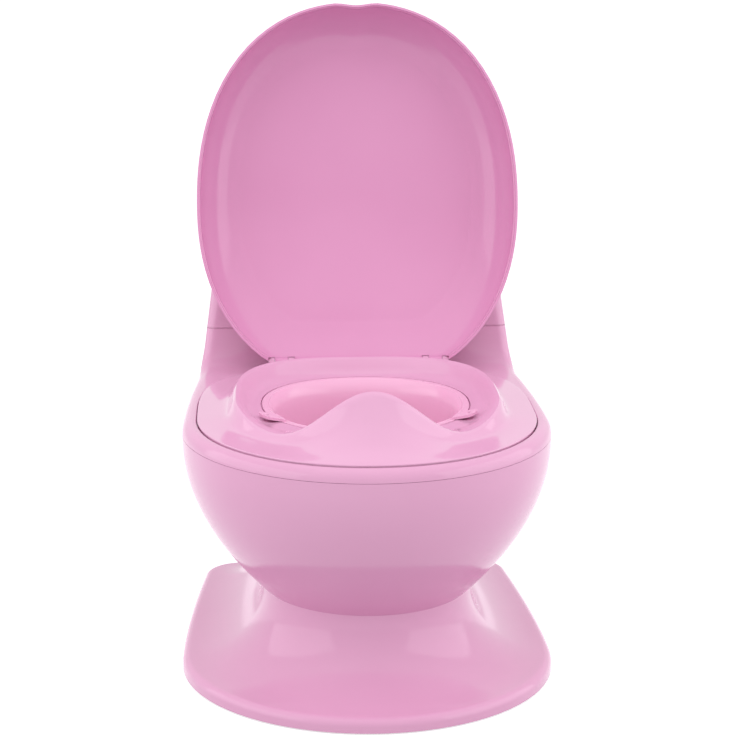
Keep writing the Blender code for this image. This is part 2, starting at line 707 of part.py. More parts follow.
def make_seat_ring():
    crest = crest_outline()
    tops = [crest_height(x, y) for x, y in crest]
    guards = [guard_share(x, y) for x, y in crest]
    rebate = grown(POT_OUTLINE, POT_LIP_WIDTH + SEAT_GAP)
    shelf = grown(POT_OUTLINE, POT_LIP_WIDTH + SEAT_GAP - SHELF_WIDTH)
    shelf_z = POT_LIP_Z - SHELF_STEP
    # (share of the way from outline to crest, rise at the sides, rise under the guard)
    outer_steps = [(0.06, 0.01, 0.03), (0.28, 0.06, 0.16), (0.56, 0.18, 0.42), (0.74, 0.38, 0.64),
                   (0.88, 0.74, 0.86), (0.96, 0.94, 0.97), (1.0, 1.0, 1.0)]
    # (share of the way from crest to rebate, fall at the sides, fall behind the guard)
    inner_steps = [(0.12, 0.06, 0.03), (0.30, 0.36, 0.20), (0.50, 0.74, 0.58), (0.76, 0.95, 0.90),
                   (1.0, 1.0, 1.0)]
    rings = [mirrored(SEAT_OUTLINE, DECK_Z + FIT_GAP),
             mirrored(SEAT_OUTLINE, RIM_TOP_Z - SEAT_EDGE_ROUND),
             mirrored(grown(SEAT_OUTLINE, -0.3 * SEAT_EDGE_ROUND), RIM_TOP_Z - 0.3 * SEAT_EDGE_ROUND)]
    for share, side_rise, guard_rise in outer_steps:
        heights = [RIM_TOP_Z + (top - RIM_TOP_Z) * (side_rise + (guard_rise - side_rise) * guard)
                   for top, guard in zip(tops, guards)]
        rings.append(ring_of(mixed(SEAT_OUTLINE, crest, share), heights))
    for share, side_fall, guard_fall in inner_steps:
        heights = [top - (top - POT_LIP_Z) * (side_fall + (guard_fall - side_fall) * guard)
                   for top, guard in zip(tops, guards)]
        rings.append(ring_of(mixed(crest, rebate, share), heights))
    rings.append(mirrored(rebate, shelf_z))
    rings.append(mirrored(shelf, shelf_z))
    seat = loft("seat_ring", rings, PINK_SEAT)
    solidify(seat, SEAT_THICKNESS, even=False)
    for side in (-1, 1):
        for place, inner in enumerate(ear_plate_starts()):
            ear = hinge_ear("seat_ear_%d_%d" % (side, place), side, inner)
            join(seat, ear)
    for side in (-1, 1):
        bore = cylinder("seat_pin_bore_%d" % side, HINGE_PIN_RADIUS + HINGE_BORE,
                        side * hinge_middle() - 0.020, side * hinge_middle() + 0.020,
                        (HINGE_Y, HINGE_Z), None, CUTTERS, 12, "X")
        cut(seat, bore)
    return seat


def hinge_middle():
    return KNUCKLE_INNER + KNUCKLE_WIDTH / 2


def ear_plate_starts():
    """Inner faces of the two ears that hold each knuckle."""
    return (KNUCKLE_INNER - HINGE_SIDE_GAP - EAR_PLATE,
            KNUCKLE_INNER + KNUCKLE_WIDTH + HINGE_SIDE_GAP)


def hinge_ear(name, side, inner):
    """A rounded upright plate that stands on the seat's rear flange."""
    outline = []
    foot_z = RIM_TOP_Z - 0.0012
    steps = 8
    for step in range(steps + 1):
        angle = step / steps * math.pi
        outline.append((HINGE_Y + KNUCKLE_RADIUS * math.cos(angle),
                        HINGE_Z + KNUCKLE_RADIUS * math.sin(angle)))
    outline = [(HINGE_Y + KNUCKLE_RADIUS, foot_z)] + outline
    outline.append((HINGE_Y - KNUCKLE_RADIUS, foot_z))
    low = side * inner if side > 0 else side * (inner + EAR_PLATE)
    rings = [[Vector((x, y, z)) for y, z in outline] for x in (low, low + EAR_PLATE)]
    return loft(name, rings, None, CUTTERS, True, True)


# ---- Hinge pins --------------------------------------------------------------
def make_hinge_pins():
    starts = ear_plate_starts()
    reach = starts[1] + EAR_PLATE
    for name, side in (("left", -1), ("right", 1)):
        ends = sorted((side * starts[0], side * reach))
        pin = cylinder("hinge_pin_" + name, HINGE_PIN_RADIUS, *ends, (HINGE_Y, HINGE_Z),
                       STEEL, PARTS, 12, "X")
        bevel(pin, 0.0003, 1)


# ---- Lid ---------------------------------------------------------------------
def lid_depth_share(y):
    """The dome is shallower towards the hinge."""
    reach = CAP_TOP_Z - HINGE_Z + LID_CAP_CLEARANCE
    short = max(0.0, 1 - (HINGE_Y - y) / reach)
    return 1 - LID_SHALLOWING * min(1.0, short) ** 1.6


def lid_edge_lift(y):
    """The lid's edge rises a little behind its widest place, clear of the seat."""
    return LID_REAR_LIFT * max(0.0, (y - LID_WIDEST_Y) / (LID_BACK - LID_WIDEST_Y)) ** 1.5


def lid_outline():
    outline = egg(LID_HALF_WIDTH, LID_TIP, LID_WIDEST_Y, LID_BACK, LID_FRONT_POWER, LID_BACK_POWER)
    notched = []
    for x, y in outline:
        if y < LID_WIDEST_Y and abs(x) < LID_NOTCH_HALF:
            y += LID_NOTCH_DEPTH * (math.cos(math.pi * x / LID_NOTCH_HALF) + 1) / 2
        notched.append((x, y))
    return notched


def make_lid():
    outline = lid_outline()
    edge_z = HINGE_Z - LID_EDGE_DROP
    # (distance in from the edge, height above it)
    profile = [(0.0, 0.0), (0.0003, LID_DEPTH * 0.22), (0.0025, LID_DEPTH * 0.46),
               (0.0070, LID_DEPTH * 0.68), (0.0130, LID_DEPTH * 0.83), (0.0200, LID_DEPTH * 0.925),
               (0.0290, LID_DEPTH * 0.975)]
    # (share of the last outline, height)
    middle = [(0.55, LID_DEPTH)]

    def rings(points, crown_drop):
        made = []
        for inset, height in points:
            half = grown(outline, -inset)
            made.append(ring_of(half, [lid_height(y, height) for x, y in half]))
        last = grown(outline, -points[-1][0])
        for share, height in middle:
            half = towards(last, LID_MIDDLE_Y, share)
            made.append(ring_of(half, [lid_height(y, height) - crown_drop for x, y in half]))
        return made

    def lid_height(y, height):
        return edge_z + lid_edge_lift(y) + height * lid_depth_share(y)

    inside = rings(inner_profile(profile, WALL), WALL)
    outside = rings(profile, 0.0)
    lid = loft("lid", list(reversed(inside)) + outside, PINK_LID, PARTS, True, True, fan=True)
    for side in (-1, 1):
        for place, inner in enumerate(ear_plate_starts()):
            ends = sorted((side * (inner - HINGE_SIDE_GAP), side * (inner + EAR_PLATE + HINGE_SIDE_GAP)))
            cut(lid, box("ear_slot_%d_%d" % (side, place),
                         (ends[0], HINGE_Y - KNUCKLE_RADIUS - HINGE_SIDE_GAP, HINGE_Z - 0.02),
                         (ends[1], LID_BACK + 0.01, HINGE_Z + 0.02), None, CUTTERS))
    for side in (-1, 1):
        start = side * KNUCKLE_INNER
        ends = sorted((start, start + side * KNUCKLE_WIDTH))
        join(lid, cylinder("lid_knuckle_%d" % side, KNUCKLE_RADIUS, *ends, (HINGE_Y, HINGE_Z),
                           None, CUTTERS, 16, "X"))
        ends = sorted((start - side * 0.002, start + side * (KNUCKLE_WIDTH + 0.002)))
        cut(lid, cylinder("lid_pin_bore_%d" % side, HINGE_PIN_RADIUS + HINGE_BORE, *ends,
                          (HINGE_Y, HINGE_Z), None, CUTTERS, 12, "X"))
    lid = settled(lid, (0.0, HINGE_Y, HINGE_Z))
    lid.rotation_euler.x = -LID_OPEN_TURN
    return lid


# ---- Pot ---------------------------------------------------------------------
def make_pot():
    # (how far inside the mouth's outline, height as a share of the pot's depth)
    walls = [(0.0280, 0.0), (0.0190, 0.015), (0.0135, 0.07), (0.0100, 0.18), (0.0060, 0.45),
             (0.0012, 0.90)]
    rings = [mirrored(grown(POT_OUTLINE, -inset), POT_FLOOR_Z + POT_DEPTH * share)
             for inset, share in walls]
    rings.append(mirrored(grown(POT_OUTLINE, 0.0008), POT_LIP_Z))
    rings.append(mirrored(grown(POT_OUTLINE, POT_LIP_WIDTH), POT_LIP_Z))
    for ring in rings:
        ring.reverse()
    pot = loft("pot", rings, PINK_POT, close_first=True)
    solidify(pot, POT_WALL)
    for side in (-1, 1):
        ear, hole = pot_ear("pot_ear_%d" % side, side)
        join(pot, ear)
        cut(pot, hole)
    return pot


def pot_ear(name, side):
    """Grip ear at the mouth, lying just above the seat's inner slope."""
    station = POT_OUTLINE[round(0.62 * HALF_STEPS)]
    outward = Vector((math.cos(EAR_HEADING), -math.sin(EAR_HEADING)))
    across = Vector((math.sin(EAR_HEADING), math.cos(EAR_HEADING)))
    root = Vector(station) + outward * 0.002
    end = Vector(station) + outward * EAR_LENGTH
    half_width = EAR_WIDTH / 2
    outline = [root - across * half_width]
    steps = 8
    for step in range(steps + 1):
        angle = (step / steps - 0.5) * math.pi
        outline.append(end + outward * (half_width * 0.5 * math.cos(angle))
                       + across * (half_width * math.sin(angle)))
    outline.append(root + across * half_width)
    low_z = POT_LIP_Z - 0.0007
    rings = []
    for lift in (0.0, EAR_THICKNESS):
        ring = [Vector((side * p.x, p.y, low_z + lift + EAR_SLOPE * (p - root).dot(outward)))
                for p in outline]
        rings.append(ring if side > 0 else list(reversed(ring)))
    centre = Vector(station) + outward * (EAR_LENGTH - 0.001)
    hole = cylinder(name + "_hole", EAR_HOLE_RADIUS, low_z - 0.002, low_z + 0.010,
                    (side * centre.x, centre.y), None, CUTTERS, 12)
    return loft(name, rings, None, CUTTERS, True, True), hole


# ---- Tank cap ----------------------------------------------------------------
def make_tank_cap():
    seam = TANK_SEAM_Z + FIT_GAP
    # (distance in from the tank's own outline, height): fine chamfer, walls and a round crown
    profile = [(0.0007, seam), (0.0, seam + 0.0012), (0.0, CAP_SHOULDER_Z)]
    crown_steps = 4
    crown = CAP_TOP_Z - CAP_SHOULDER_Z
    for step in range(1, crown_steps + 1):
        angle = step / crown_steps * math.pi / 2
        profile.append((CAP_CROWN_INSET * (1 - math.cos(angle)),
                        CAP_SHOULDER_Z + crown * math.sin(angle)))
    outside = [mirrored(tank_outline(z, inset, CAP_FRONT_CORNER), z) for inset, z in profile]
    profile[0] = (0.0, seam)
    inside = [mirrored(tank_outline(z, inset, CAP_FRONT_CORNER + WALL), z)
              for inset, z in inner_profile(profile, WALL)]
    cap = loft("tank_cap", list(reversed(inside)) + outside, PINK_SHELL, PARTS, True, True)

    slack = WALL + CAP_LIP_CLEARANCE
    lip = [(TANK_SEAM_Z - CAP_LIP_DROP, slack), (seam + 0.0004, slack), (seam + 0.0010, WALL - 0.0012),
           (seam + 0.0050, WALL - 0.0012), (seam + 0.0050, slack + CAP_LIP_WALL),
           (TANK_SEAM_Z - CAP_LIP_DROP, slack + CAP_LIP_WALL)]
    cap_lip = loft("cap_lip", [mirrored(tank_outline(z, inset), z) for z, inset in lip],
                   None, CUTTERS, wrap=True)
    # no lip at the back, so the cap lifts up and backwards
    cut(cap_lip, box("lip_relief", (-RIM_HALF_WIDTH, TANK_BACK - RIM_CORNER, TANK_SEAM_Z - 0.020),
                     (RIM_HALF_WIDTH, TANK_BACK + 0.010, TANK_SEAM_Z), None, CUTTERS))
    join(cap, cap_lip)

    place = (0.0, BUTTON_Y)
    bore = BUTTON_RADIUS + BUTTON_CLEARANCE
    join(cap, cylinder("button_collar", bore + COLLAR_WALL, COLLAR_FLOOR_Z, CAP_TOP_Z - 0.0012,
                       place, None, CUTTERS, 24))
    cut(cap, cylinder("button_bore", bore, COLLAR_FLOOR_Z + COLLAR_FLOOR, CAP_TOP_Z + 0.010,
                      place, None, CUTTERS, 24))
    cut(cap, cylinder("stem_hole", BUTTON_STEM_RADIUS + BUTTON_CLEARANCE, COLLAR_FLOOR_Z - 0.010,
                      CAP_TOP_Z, place, None, CUTTERS, 16))
    for side in (-1, 1):
        place = (side * MODULE_SCREW_X, module_middle())
        join(cap, cylinder("module_boss_%d" % side, SCREW_BOSS_RADIUS, MODULE_TOP_Z + FIT_GAP,
                           CAP_TOP_Z - 0.0015, place, None, CUTTERS, 12))
        cut(cap, cylinder("module_pilot_%d" % side, SCREW_SHANK_RADIUS + SCREW_CLEARANCE,
                          MODULE_TOP_Z - 0.002, MODULE_TOP_Z + 0.0095, place, None, CUTTERS, 12))
    return cap


# ---- Flush button, its spring and its switch ----------------------------------
def button_top():
    return CAP_TOP_Z + BUTTON_PROUD


def stem_foot():
    """Lower end of the button's stem, just above the switch's plunger."""
    return switch_top() + PLUNGER_RISE + FIT_GAP


def board_top():
    return MODULE_TOP_Z - MODULE_WALL - BOARD_DROP


def switch_top():
    return board_top() + FIT_GAP + SWITCH_HEIGHT


def make_flush_button():
    top = button_top()
    under = top - BUTTON_HEAD
    clip = COLLAR_FLOOR_Z - FIT_GAP
    profile = [(0.0, top), (BUTTON_RADIUS * 0.75, top - 0.0004), (BUTTON_RADIUS - 0.0006, top - 0.0012),
               (BUTTON_RADIUS, top - 0.0024), (BUTTON_RADIUS, under), (BUTTON_STEM_RADIUS, under),
               (BUTTON_STEM_RADIUS, clip), (BUTTON_STEM_RADIUS + 0.0014, clip),
               (BUTTON_STEM_RADIUS, clip - 0.0020), (BUTTON_STEM_RADIUS, stem_foot()),
               (0.0, stem_foot())]
    turned("flush_button", profile, (0.0, BUTTON_Y), SILVER_BUTTON, PARTS, 20)


def make_button_spring():
    low = COLLAR_FLOOR_Z + COLLAR_FLOOR + FIT_GAP + SPRING_WIRE
    high = button_top() - BUTTON_HEAD - FIT_GAP - SPRING_WIRE
    turn_steps = 8
    curve = bpy.data.curves.new("button_spring", "CURVE")
    curve.dimensions = "3D"
    curve.bevel_depth = SPRING_WIRE
    curve.bevel_resolution = 1
    curve.use_fill_caps = True
    line = curve.splines.new("POLY")
    count = SPRING_TURNS * turn_steps + 1
    line.points.add(count - 1)
    for place in range(count):
        angle = place / turn_steps * 2 * math.pi
        z = low + (high - low) * place / (count - 1)
        line.points[place].co = (SPRING_RADIUS * math.cos(angle),
                                 BUTTON_Y + SPRING_RADIUS * math.sin(angle), z, 1.0)
    curve.materials.append(STEEL)
    item = bpy.data.objects.new("button_spring", curve)
    PARTS.objects.link(item)


def make_switch():
    low = board_top() + FIT_GAP
    half = SWITCH_SIZE / 2
    body = box("switch_body", (-half, BUTTON_Y - half, low), (half, BUTTON_Y + half, switch_top()),
               BLACK_PLASTIC)
    cut(body, cylinder("plunger_bore", PLUNGER_RADIUS + FIT_GAP, low + 0.0008, switch_top() + 0.002,
                       (0.0, BUTTON_Y), None, CUTTERS, 16))
    cylinder("switch_plunger", PLUNGER_RADIUS, low + 0.0008 + BUTTON_TRAVEL + FIT_GAP,
             switch_top() + PLUNGER_RISE, (0.0, BUTTON_Y), WHITE_PLASTIC, PARTS, 16)


# ---- Sound module ------------------------------------------------------------
def module_middle():
    return (MODULE_FRONT + MODULE_BACK) / 2


def module_inside():
    """Inner faces of the module's side walls: x, front y and back y."""
    return (MODULE_HALF_WIDTH - MODULE_WALL, MODULE_FRONT + MODULE_WALL, MODULE_BACK - MODULE_WALL)


def bay_left():
    """Left end of the battery bay, beside the partition."""
    return DOOR_SCREW_X - SCREW_BOSS_RADIUS - 0.0006


def make_sound_housing():
    inner_x, front, back = module_inside()
    roof = MODULE_TOP_Z - MODULE_WALL
    housing = box("sound_housing", (-MODULE_HALF_WIDTH, MODULE_FRONT, MODULE_BOTTOM_Z),
                  (MODULE_HALF_WIDTH, MODULE_BACK, MODULE_TOP_Z), WHITE_PLASTIC)
    for side in (-1, 1):
        middle = side * MODULE_SCREW_X
        join(housing, box("housing_flange_%d" % side,
                          (min(middle, side * 0.042) - 0.0045 * (side < 0), module_middle() - 0.0045, roof),
                          (max(middle, side * 0.042) + 0.0045 * (side > 0), module_middle() + 0.0045,
                           MODULE_TOP_Z), None, CUTTERS))
    partition = bay_left() - MODULE_WALL
    cut(housing, box("battery_bay", (bay_left(), front, MODULE_BOTTOM_Z - 0.01),
                     (inner_x, back, roof), None, CUTTERS))
    cut(housing, box("speaker_bay", (-inner_x, front, MODULE_BOTTOM_Z + MODULE_WALL),
                     (partition, back, roof), None, CUTTERS))
    cut(housing, box("board_space", (-inner_x, front, board_top() - BOARD_THICKNESS - 0.0010),
                     (inner_x, back, roof), None, CUTTERS))
    half = SWITCH_SIZE / 2 + 0.0006
    cut(housing, box("switch_window", (-half, BUTTON_Y - half, roof - 0.002),
                     (half, BUTTON_Y + half, MODULE_TOP_Z + 0.002), None, CUTTERS))
    boss = cylinder("door_boss", SCREW_BOSS_RADIUS, door_top() + FIT_GAP, roof + 0.0005,
                    (DOOR_SCREW_X, module_middle()), None, CUTTERS, 12)
    join(housing, boss)
    cut(housing, cylinder("door_pilot", SCREW_SHANK_RADIUS + SCREW_CLEARANCE, door_top() - 0.002,
                          door_top() + 0.0095, (DOOR_SCREW_X, module_middle()), None, CUTTERS, 12))
    for column in range(-1, 2):
        for row in range(-1, 2):
            place = (SPEAKER_X + column * GRILLE_PITCH, module_middle() + row * GRILLE_PITCH)
            cut(housing, cylinder("grille_%d_%d" % (column, row), GRILLE_HOLE_RADIUS,
                                  MODULE_BOTTOM_Z - 0.001, MODULE_BOTTOM_Z + MODULE_WALL + 0.001,
                                  place, None, CUTTERS, 6))
    for side in (-1, 1):
        cut(housing, cylinder("flange_hole_%d" % side, SCREW_SHANK_RADIUS + SCREW_CLEARANCE,
                              roof - 0.002, MODULE_TOP_Z + 0.002,
                              (side * MODULE_SCREW_X, module_middle()), None, CUTTERS, 12))


def door_top():
    return MODULE_BOTTOM_Z + DOOR_THICKNESS


def make_sound_parts():
    inner_x, front, back = module_inside()
    board = box("sound_board", (-inner_x + FIT_GAP, front + FIT_GAP, board_top() - BOARD_THICKNESS),
                (inner_x - FIT_GAP, back - FIT_GAP, board_top()), GREEN_BOARD)
    cut(board, cylinder("board_hole", SCREW_BOSS_RADIUS + FIT_GAP, board_top() - 0.01,
                        board_top() + 0.01, (DOOR_SCREW_X, module_middle()), None, CUTTERS, 16))
    speaker_low = MODULE_BOTTOM_Z + MODULE_WALL + FIT_GAP
    speaker_high = speaker_low + SPEAKER_HEIGHT
    magnet = speaker_high - 0.0020
    turned("speaker", [(0.0, speaker_high), (SPEAKER_RADIUS * 0.55, speaker_high),
                       (SPEAKER_RADIUS * 0.55, magnet), (SPEAKER_RADIUS, magnet - 0.0006),
                       (SPEAKER_RADIUS, speaker_low), (0.0, speaker_low)],
           (SPEAKER_X, module_middle()), SPEAKER_CONE)

    cell_z = door_top() + FIT_GAP + CELL_RADIUS
    contact_high = inner_x - FIT_GAP
    cell_high = contact_high - CONTACT_THICKNESS - FIT_GAP
    cell_low = cell_high - CELL_LENGTH
    for number, side in (("1", -1), ("2", 1)):
        cell_y = module_middle() + side * (CELL_RADIUS + FIT_GAP)
        cylinder("battery_cell_" + number, CELL_RADIUS, cell_low, cell_high, (cell_y, cell_z),
                 CELL_JACKET, PARTS, 20, "X")
    contact_y = 2 * CELL_RADIUS
    for name, low_x in (("contact_right", contact_high - CONTACT_THICKNESS),
                        ("contact_left", cell_low - FIT_GAP - CONTACT_THICKNESS)):
        box(name, (low_x, module_middle() - contact_y, cell_z - CELL_RADIUS),
            (low_x + CONTACT_THICKNESS, module_middle() + contact_y, cell_z + CELL_RADIUS), STEEL)

    door = box("battery_door", (bay_left() + FIT_GAP, front + FIT_GAP, MODULE_BOTTOM_Z),
               (inner_x - FIT_GAP, back - FIT_GAP, door_top()), WHITE_PLASTIC)
    cut(door, cylinder("door_hole", SCREW_SHANK_RADIUS + SCREW_CLEARANCE, MODULE_BOTTOM_Z - 0.01,
                       door_top() + 0.01, (DOOR_SCREW_X, module_middle()), None, CUTTERS, 12))


# ---- Feet and screws ---------------------------------------------------------
def make_rubber_feet():
    for name, place in rubber_places().items():
        turned("foot_" + name, [(0.0, RUBBER_HEIGHT), (RUBBER_RADIUS, RUBBER_HEIGHT),
                                (RUBBER_RADIUS, 0.0008), (RUBBER_RADIUS - 0.0008, 0.0), (0.0, 0.0)],
               place, GREY_RUBBER, PARTS, 16)


def make_screw(name, place, seat_z, length):
    """A pan-head screw driven upwards; its head bears on seat_z from below."""
    under = seat_z - FIT_GAP
    low = under - SCREW_HEAD_HEIGHT
    turned(name, [(0.0, under + length), (SCREW_SHANK_RADIUS, under + length),
                  (SCREW_SHANK_RADIUS, under), (SCREW_HEAD_RADIUS, under),
                  (SCREW_HEAD_RADIUS, low + 0.0008), (SCREW_HEAD_RADIUS - 0.0008, low), (0.0, low)],
           place, STEEL, PARTS, 12)


def make_screws():
    for name, place in shell_screw_places().items():
        make_screw("shell_screw_" + name, place, LUG_TOP_Z - LUG_HEIGHT, LUG_HEIGHT + 0.0085)
    for name, side in (("left", -1), ("right", 1)):
        make_screw("module_screw_" + name, (side * MODULE_SCREW_X, module_middle()),
                   MODULE_TOP_Z - MODULE_WALL, MODULE_WALL + 0.0085)
    make_screw("battery_door_screw", (DOOR_SCREW_X, module_middle()), MODULE_BOTTOM_Z,
               DOOR_THICKNESS + 0.0085)


make_base_shell()
make_upper_shell()
make_seat_ring()
make_hinge_pins()
make_lid()
make_pot()
make_tank_cap()
make_flush_button()
make_button_spring()
make_switch()
make_sound_housing()
make_sound_parts()
make_rubber_feet()
make_screws()
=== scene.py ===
import math

import bmesh
import bpy
from mathutils import Matrix, Vector


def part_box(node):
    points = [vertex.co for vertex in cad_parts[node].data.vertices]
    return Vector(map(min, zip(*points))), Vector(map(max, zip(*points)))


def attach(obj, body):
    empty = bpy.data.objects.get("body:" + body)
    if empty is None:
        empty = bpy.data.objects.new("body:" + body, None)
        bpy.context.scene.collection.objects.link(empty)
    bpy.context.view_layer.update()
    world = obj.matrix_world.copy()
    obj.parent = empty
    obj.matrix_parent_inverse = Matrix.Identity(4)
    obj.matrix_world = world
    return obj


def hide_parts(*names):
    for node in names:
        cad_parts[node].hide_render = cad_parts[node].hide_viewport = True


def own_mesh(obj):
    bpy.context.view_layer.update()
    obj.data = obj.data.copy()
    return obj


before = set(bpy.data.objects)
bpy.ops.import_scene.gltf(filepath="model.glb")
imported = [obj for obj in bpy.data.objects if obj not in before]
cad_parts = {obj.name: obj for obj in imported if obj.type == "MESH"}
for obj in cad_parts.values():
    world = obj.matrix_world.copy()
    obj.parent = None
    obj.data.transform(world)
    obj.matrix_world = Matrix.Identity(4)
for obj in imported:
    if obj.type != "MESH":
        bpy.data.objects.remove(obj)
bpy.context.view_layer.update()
scene = bpy.context.scene
scene.view_settings.view_transform = "Standard"
fitGap = 0.0003                        # between pieces that touch
wall = 0.0026                          # moulded walls
spare = 0.001                          # cutters reach past what they cut by a few of these
smoothAngle = math.radians(38)

baseLow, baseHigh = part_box("base_shell")
upperLow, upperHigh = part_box("upper_shell")
seatLow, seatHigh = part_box("seat_ring")
capLow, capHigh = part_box("tank_cap")
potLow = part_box("pot")[0]


# Camera, light and floor

camera = {"place": (-0.0947, -2.05, 0.7254), "tilt": 76.61, "turn": -2.72, "lens": 127.9, "sensor": 36}
studio = {
    "world": 0.83,
    "white": "#ffffff",
    "boxes": (
        # name, place, size, watts, aimed at
        ("left_softbox", (-1.45, -0.25, 0.60), (2.2, 1.1), 8.0, (0.0, 0.0, 0.30)),
        ("right_softbox", (1.45, -0.25, 0.60), (2.2, 1.1), 8.0, (0.0, 0.0, 0.30)),
        ("top_softbox", (0.0, -0.60, 1.80), (2.8, 1.8), 14.5, (0.0, 0.0, 0.25)),
    ),
    "floorColour": "#cfcbcf",
    "floorGlow": 0.62,                 # what a straight look or a gloss sees, on top of the lit paper
    "floorRoughness": 0.9,
    "floorReach": 6.0,
}


def hexColour(text):                   # sRGB hex to linear
    channels = [int(text[i:i + 2], 16) / 255 for i in (1, 3, 5)]
    linear = [c / 12.92 if c <= 0.04045 else ((c + 0.055) / 1.055) ** 2.4 for c in channels]
    return (*linear, 1.0)


def addNode(tree, kind, inputs=None, **settings):      # an input takes a value, a socket or a node
    node = tree.nodes.new(kind)
    for name, value in settings.items():
        setattr(node, name, value)
    for name, value in (inputs or {}).items():
        source = value.outputs[0] if isinstance(value, bpy.types.Node) else value
        if isinstance(source, bpy.types.NodeSocket):
            tree.links.new(source, node.inputs[name])
        else:
            node.inputs[name].default_value = source
    return node


def emptyMaterial(name):
    material = bpy.data.materials.new(name)
    material.use_nodes = True
    material.node_tree.nodes.clear()
    return material, material.node_tree


def setCamera():
    data = bpy.data.cameras.new("camera")
    data.lens = camera["lens"]
    data.sensor_width = camera["sensor"]
    eye = bpy.data.objects.new("camera", data)
    eye.location = camera["place"]
    eye.rotation_euler = (math.radians(camera["tilt"]), 0, math.radians(camera["turn"]))
    scene.collection.objects.link(eye)
    scene.camera = eye


def studioSeen(tree):                  # 1 where a ray sees the studio straight, in a gloss or through glass
    rays = addNode(tree, "ShaderNodeLightPath")
    gloss = addNode(tree, "ShaderNodeMath", {
        0: rays.outputs["Is Glossy Ray"], 1: rays.outputs["Is Transmission Ray"]}, operation="MAXIMUM")
    return addNode(tree, "ShaderNodeMath", {
        0: rays.outputs["Is Camera Ray"], 1: gloss}, operation="MAXIMUM")


def setLights():
    for name, place, size, watts, target in studio["boxes"]:
        data = bpy.data.lights.new(name, "AREA")
        data.shape = "RECTANGLE"
        data.size, data.size_y = size
        data.energy = watts
        lamp = bpy.data.objects.new(name, data)
        lamp.visible_glossy = name != "top_softbox"          # the broad fill leaves no haze in the gloss
        lamp.location = place
        aim = Vector(target) - Vector(place)
        lamp.rotation_euler = aim.to_track_quat("-Z", "Y").to_euler()
        scene.collection.objects.link(lamp)
    world = bpy.data.worlds.new("studio")
    world.use_nodes = True
    scene.world = world
    tree = world.node_tree
    tree.nodes.clear()
    seen = studioSeen(tree)            # plain white there, and softer as light on a surface
    strength = addNode(tree, "ShaderNodeMath", {
        0: seen, 1: 1 - studio["world"], 2: studio["world"]}, operation="MULTIPLY_ADD")
    glow = addNode(tree, "ShaderNodeBackground", {
        "Color": hexColour(studio["white"]), "Strength": strength})
    addNode(tree, "ShaderNodeOutputWorld", {"Surface": glow})


def setFloor():
    material, tree = emptyMaterial("white_paper_floor")
    seen = studioSeen(tree)
    strength = addNode(tree, "ShaderNodeMath", {0: seen, 1: studio["floorGlow"]}, operation="MULTIPLY")
    paper = addNode(tree, "ShaderNodeBsdfPrincipled", {
        "Base Color": hexColour(studio["floorColour"]), "Roughness": studio["floorRoughness"],
        "Specular IOR Level": 0.0, "Emission Color": hexColour(studio["white"]),
        "Emission Strength": strength})
    addNode(tree, "ShaderNodeOutputMaterial", {"Surface": paper})
    mesh = bpy.data.meshes.new("floor")
    reach = studio["floorReach"]
    corners = [(-reach, -reach, 0), (reach, -reach, 0), (reach, reach, 0), (-reach, reach, 0)]
    mesh.from_pydata(corners, [], [(0, 1, 2, 3)])
    mesh.materials.append(material)
    floor = bpy.data.objects.new("floor", mesh)
    scene.collection.objects.link(floor)


setCamera()
setLights()
setFloor()
print("camera, light and floor are set")


# Mesh tools

slabHalf = (0.2, 0.25)                 # half a slab's width and depth, beyond the whole object
same = {"seam": 0.000005, "skin": 0.000004, "edge": 0.000002}          # points this close are one


def addPiece(name, mesh):
    piece = bpy.data.objects.new(name, mesh)
    scene.collection.objects.link(piece)
    return piece


def meshPiece(name, points, faces):
    mesh = bpy.data.meshes.new(name)
    mesh.from_pydata(points, [], faces)
    return addPiece(name, mesh)


def loft(name, rings, closeFirst=False, closeLast=False, wrap=False):
    count = len(rings[0])
    points = [point for ring in rings for point in ring]
    faces = []
    for low in range(len(rings) if wrap else len(rings) - 1):
        high = (low + 1) % len(rings)
        for here in range(count):
            after = (here + 1) % count
            faces.append((low * count + here, low * count + after,
                          high * count + after, high * count + here))
    if closeFirst:
        faces.append(tuple(reversed(range(count))))
    if closeLast:
        faces.append(tuple(range(len(points) - count, len(points))))
    return meshPiece(name, points, faces)


def drum(name, radius, low, high, centre, sides=40, axis="Z"):
    mesh = bpy.data.meshes.new(name)
    body = bmesh.new()
    bmesh.ops.create_cone(body, cap_ends=True, segments=sides, radius1=radius, radius2=radius,
                          depth=high - low)
    middle = (low + high) / 2
    place = Vector((centre[0], centre[1], middle))
    if axis == "X":
        bmesh.ops.rotate(body, verts=body.verts, matrix=Matrix.Rotation(math.pi / 2, 3, "Y"))
        place = Vector((middle, centre[0], centre[1]))
    bmesh.ops.translate(body, verts=body.verts, vec=place)
    body.to_mesh(mesh)
    body.free()
    return addPiece(name, mesh)


def block(name, low, high):
    mesh = bpy.data.meshes.new(name)
    body = bmesh.new()
    bmesh.ops.create_cube(body, size=1.0)
    bmesh.ops.scale(body, verts=body.verts, vec=[high[i] - low[i] for i in range(3)])
    bmesh.ops.translate(body, verts=body.verts, vec=[(high[i] + low[i]) / 2 for i in range(3)])
    body.to_mesh(mesh)
    body.free()
    return addPiece(name, mesh)


def slab(name, low, high):             # cuts right across the object between two heights
    return block(name, (-slabHalf[0], -slabHalf[1], low), (slabHalf[0], slabHalf[1], high))


def addWall(piece, thickness, even=True):
    step = piece.modifiers.new("wall", "SOLIDIFY")
    step.thickness = thickness
    step.offset = -1.0
    step.use_even_offset = even


def combine(piece, other, operation, solver="EXACT"):
    step = piece.modifiers.new(other.name, "BOOLEAN")
    step.operation = operation
    step.object = other
    step.solver = solver


def cut(piece, other, solver="EXACT"):
    combine(piece, other, "DIFFERENCE", solver)


def join(piece, other, solver="EXACT"):
    combine(piece, other, "UNION", solver)


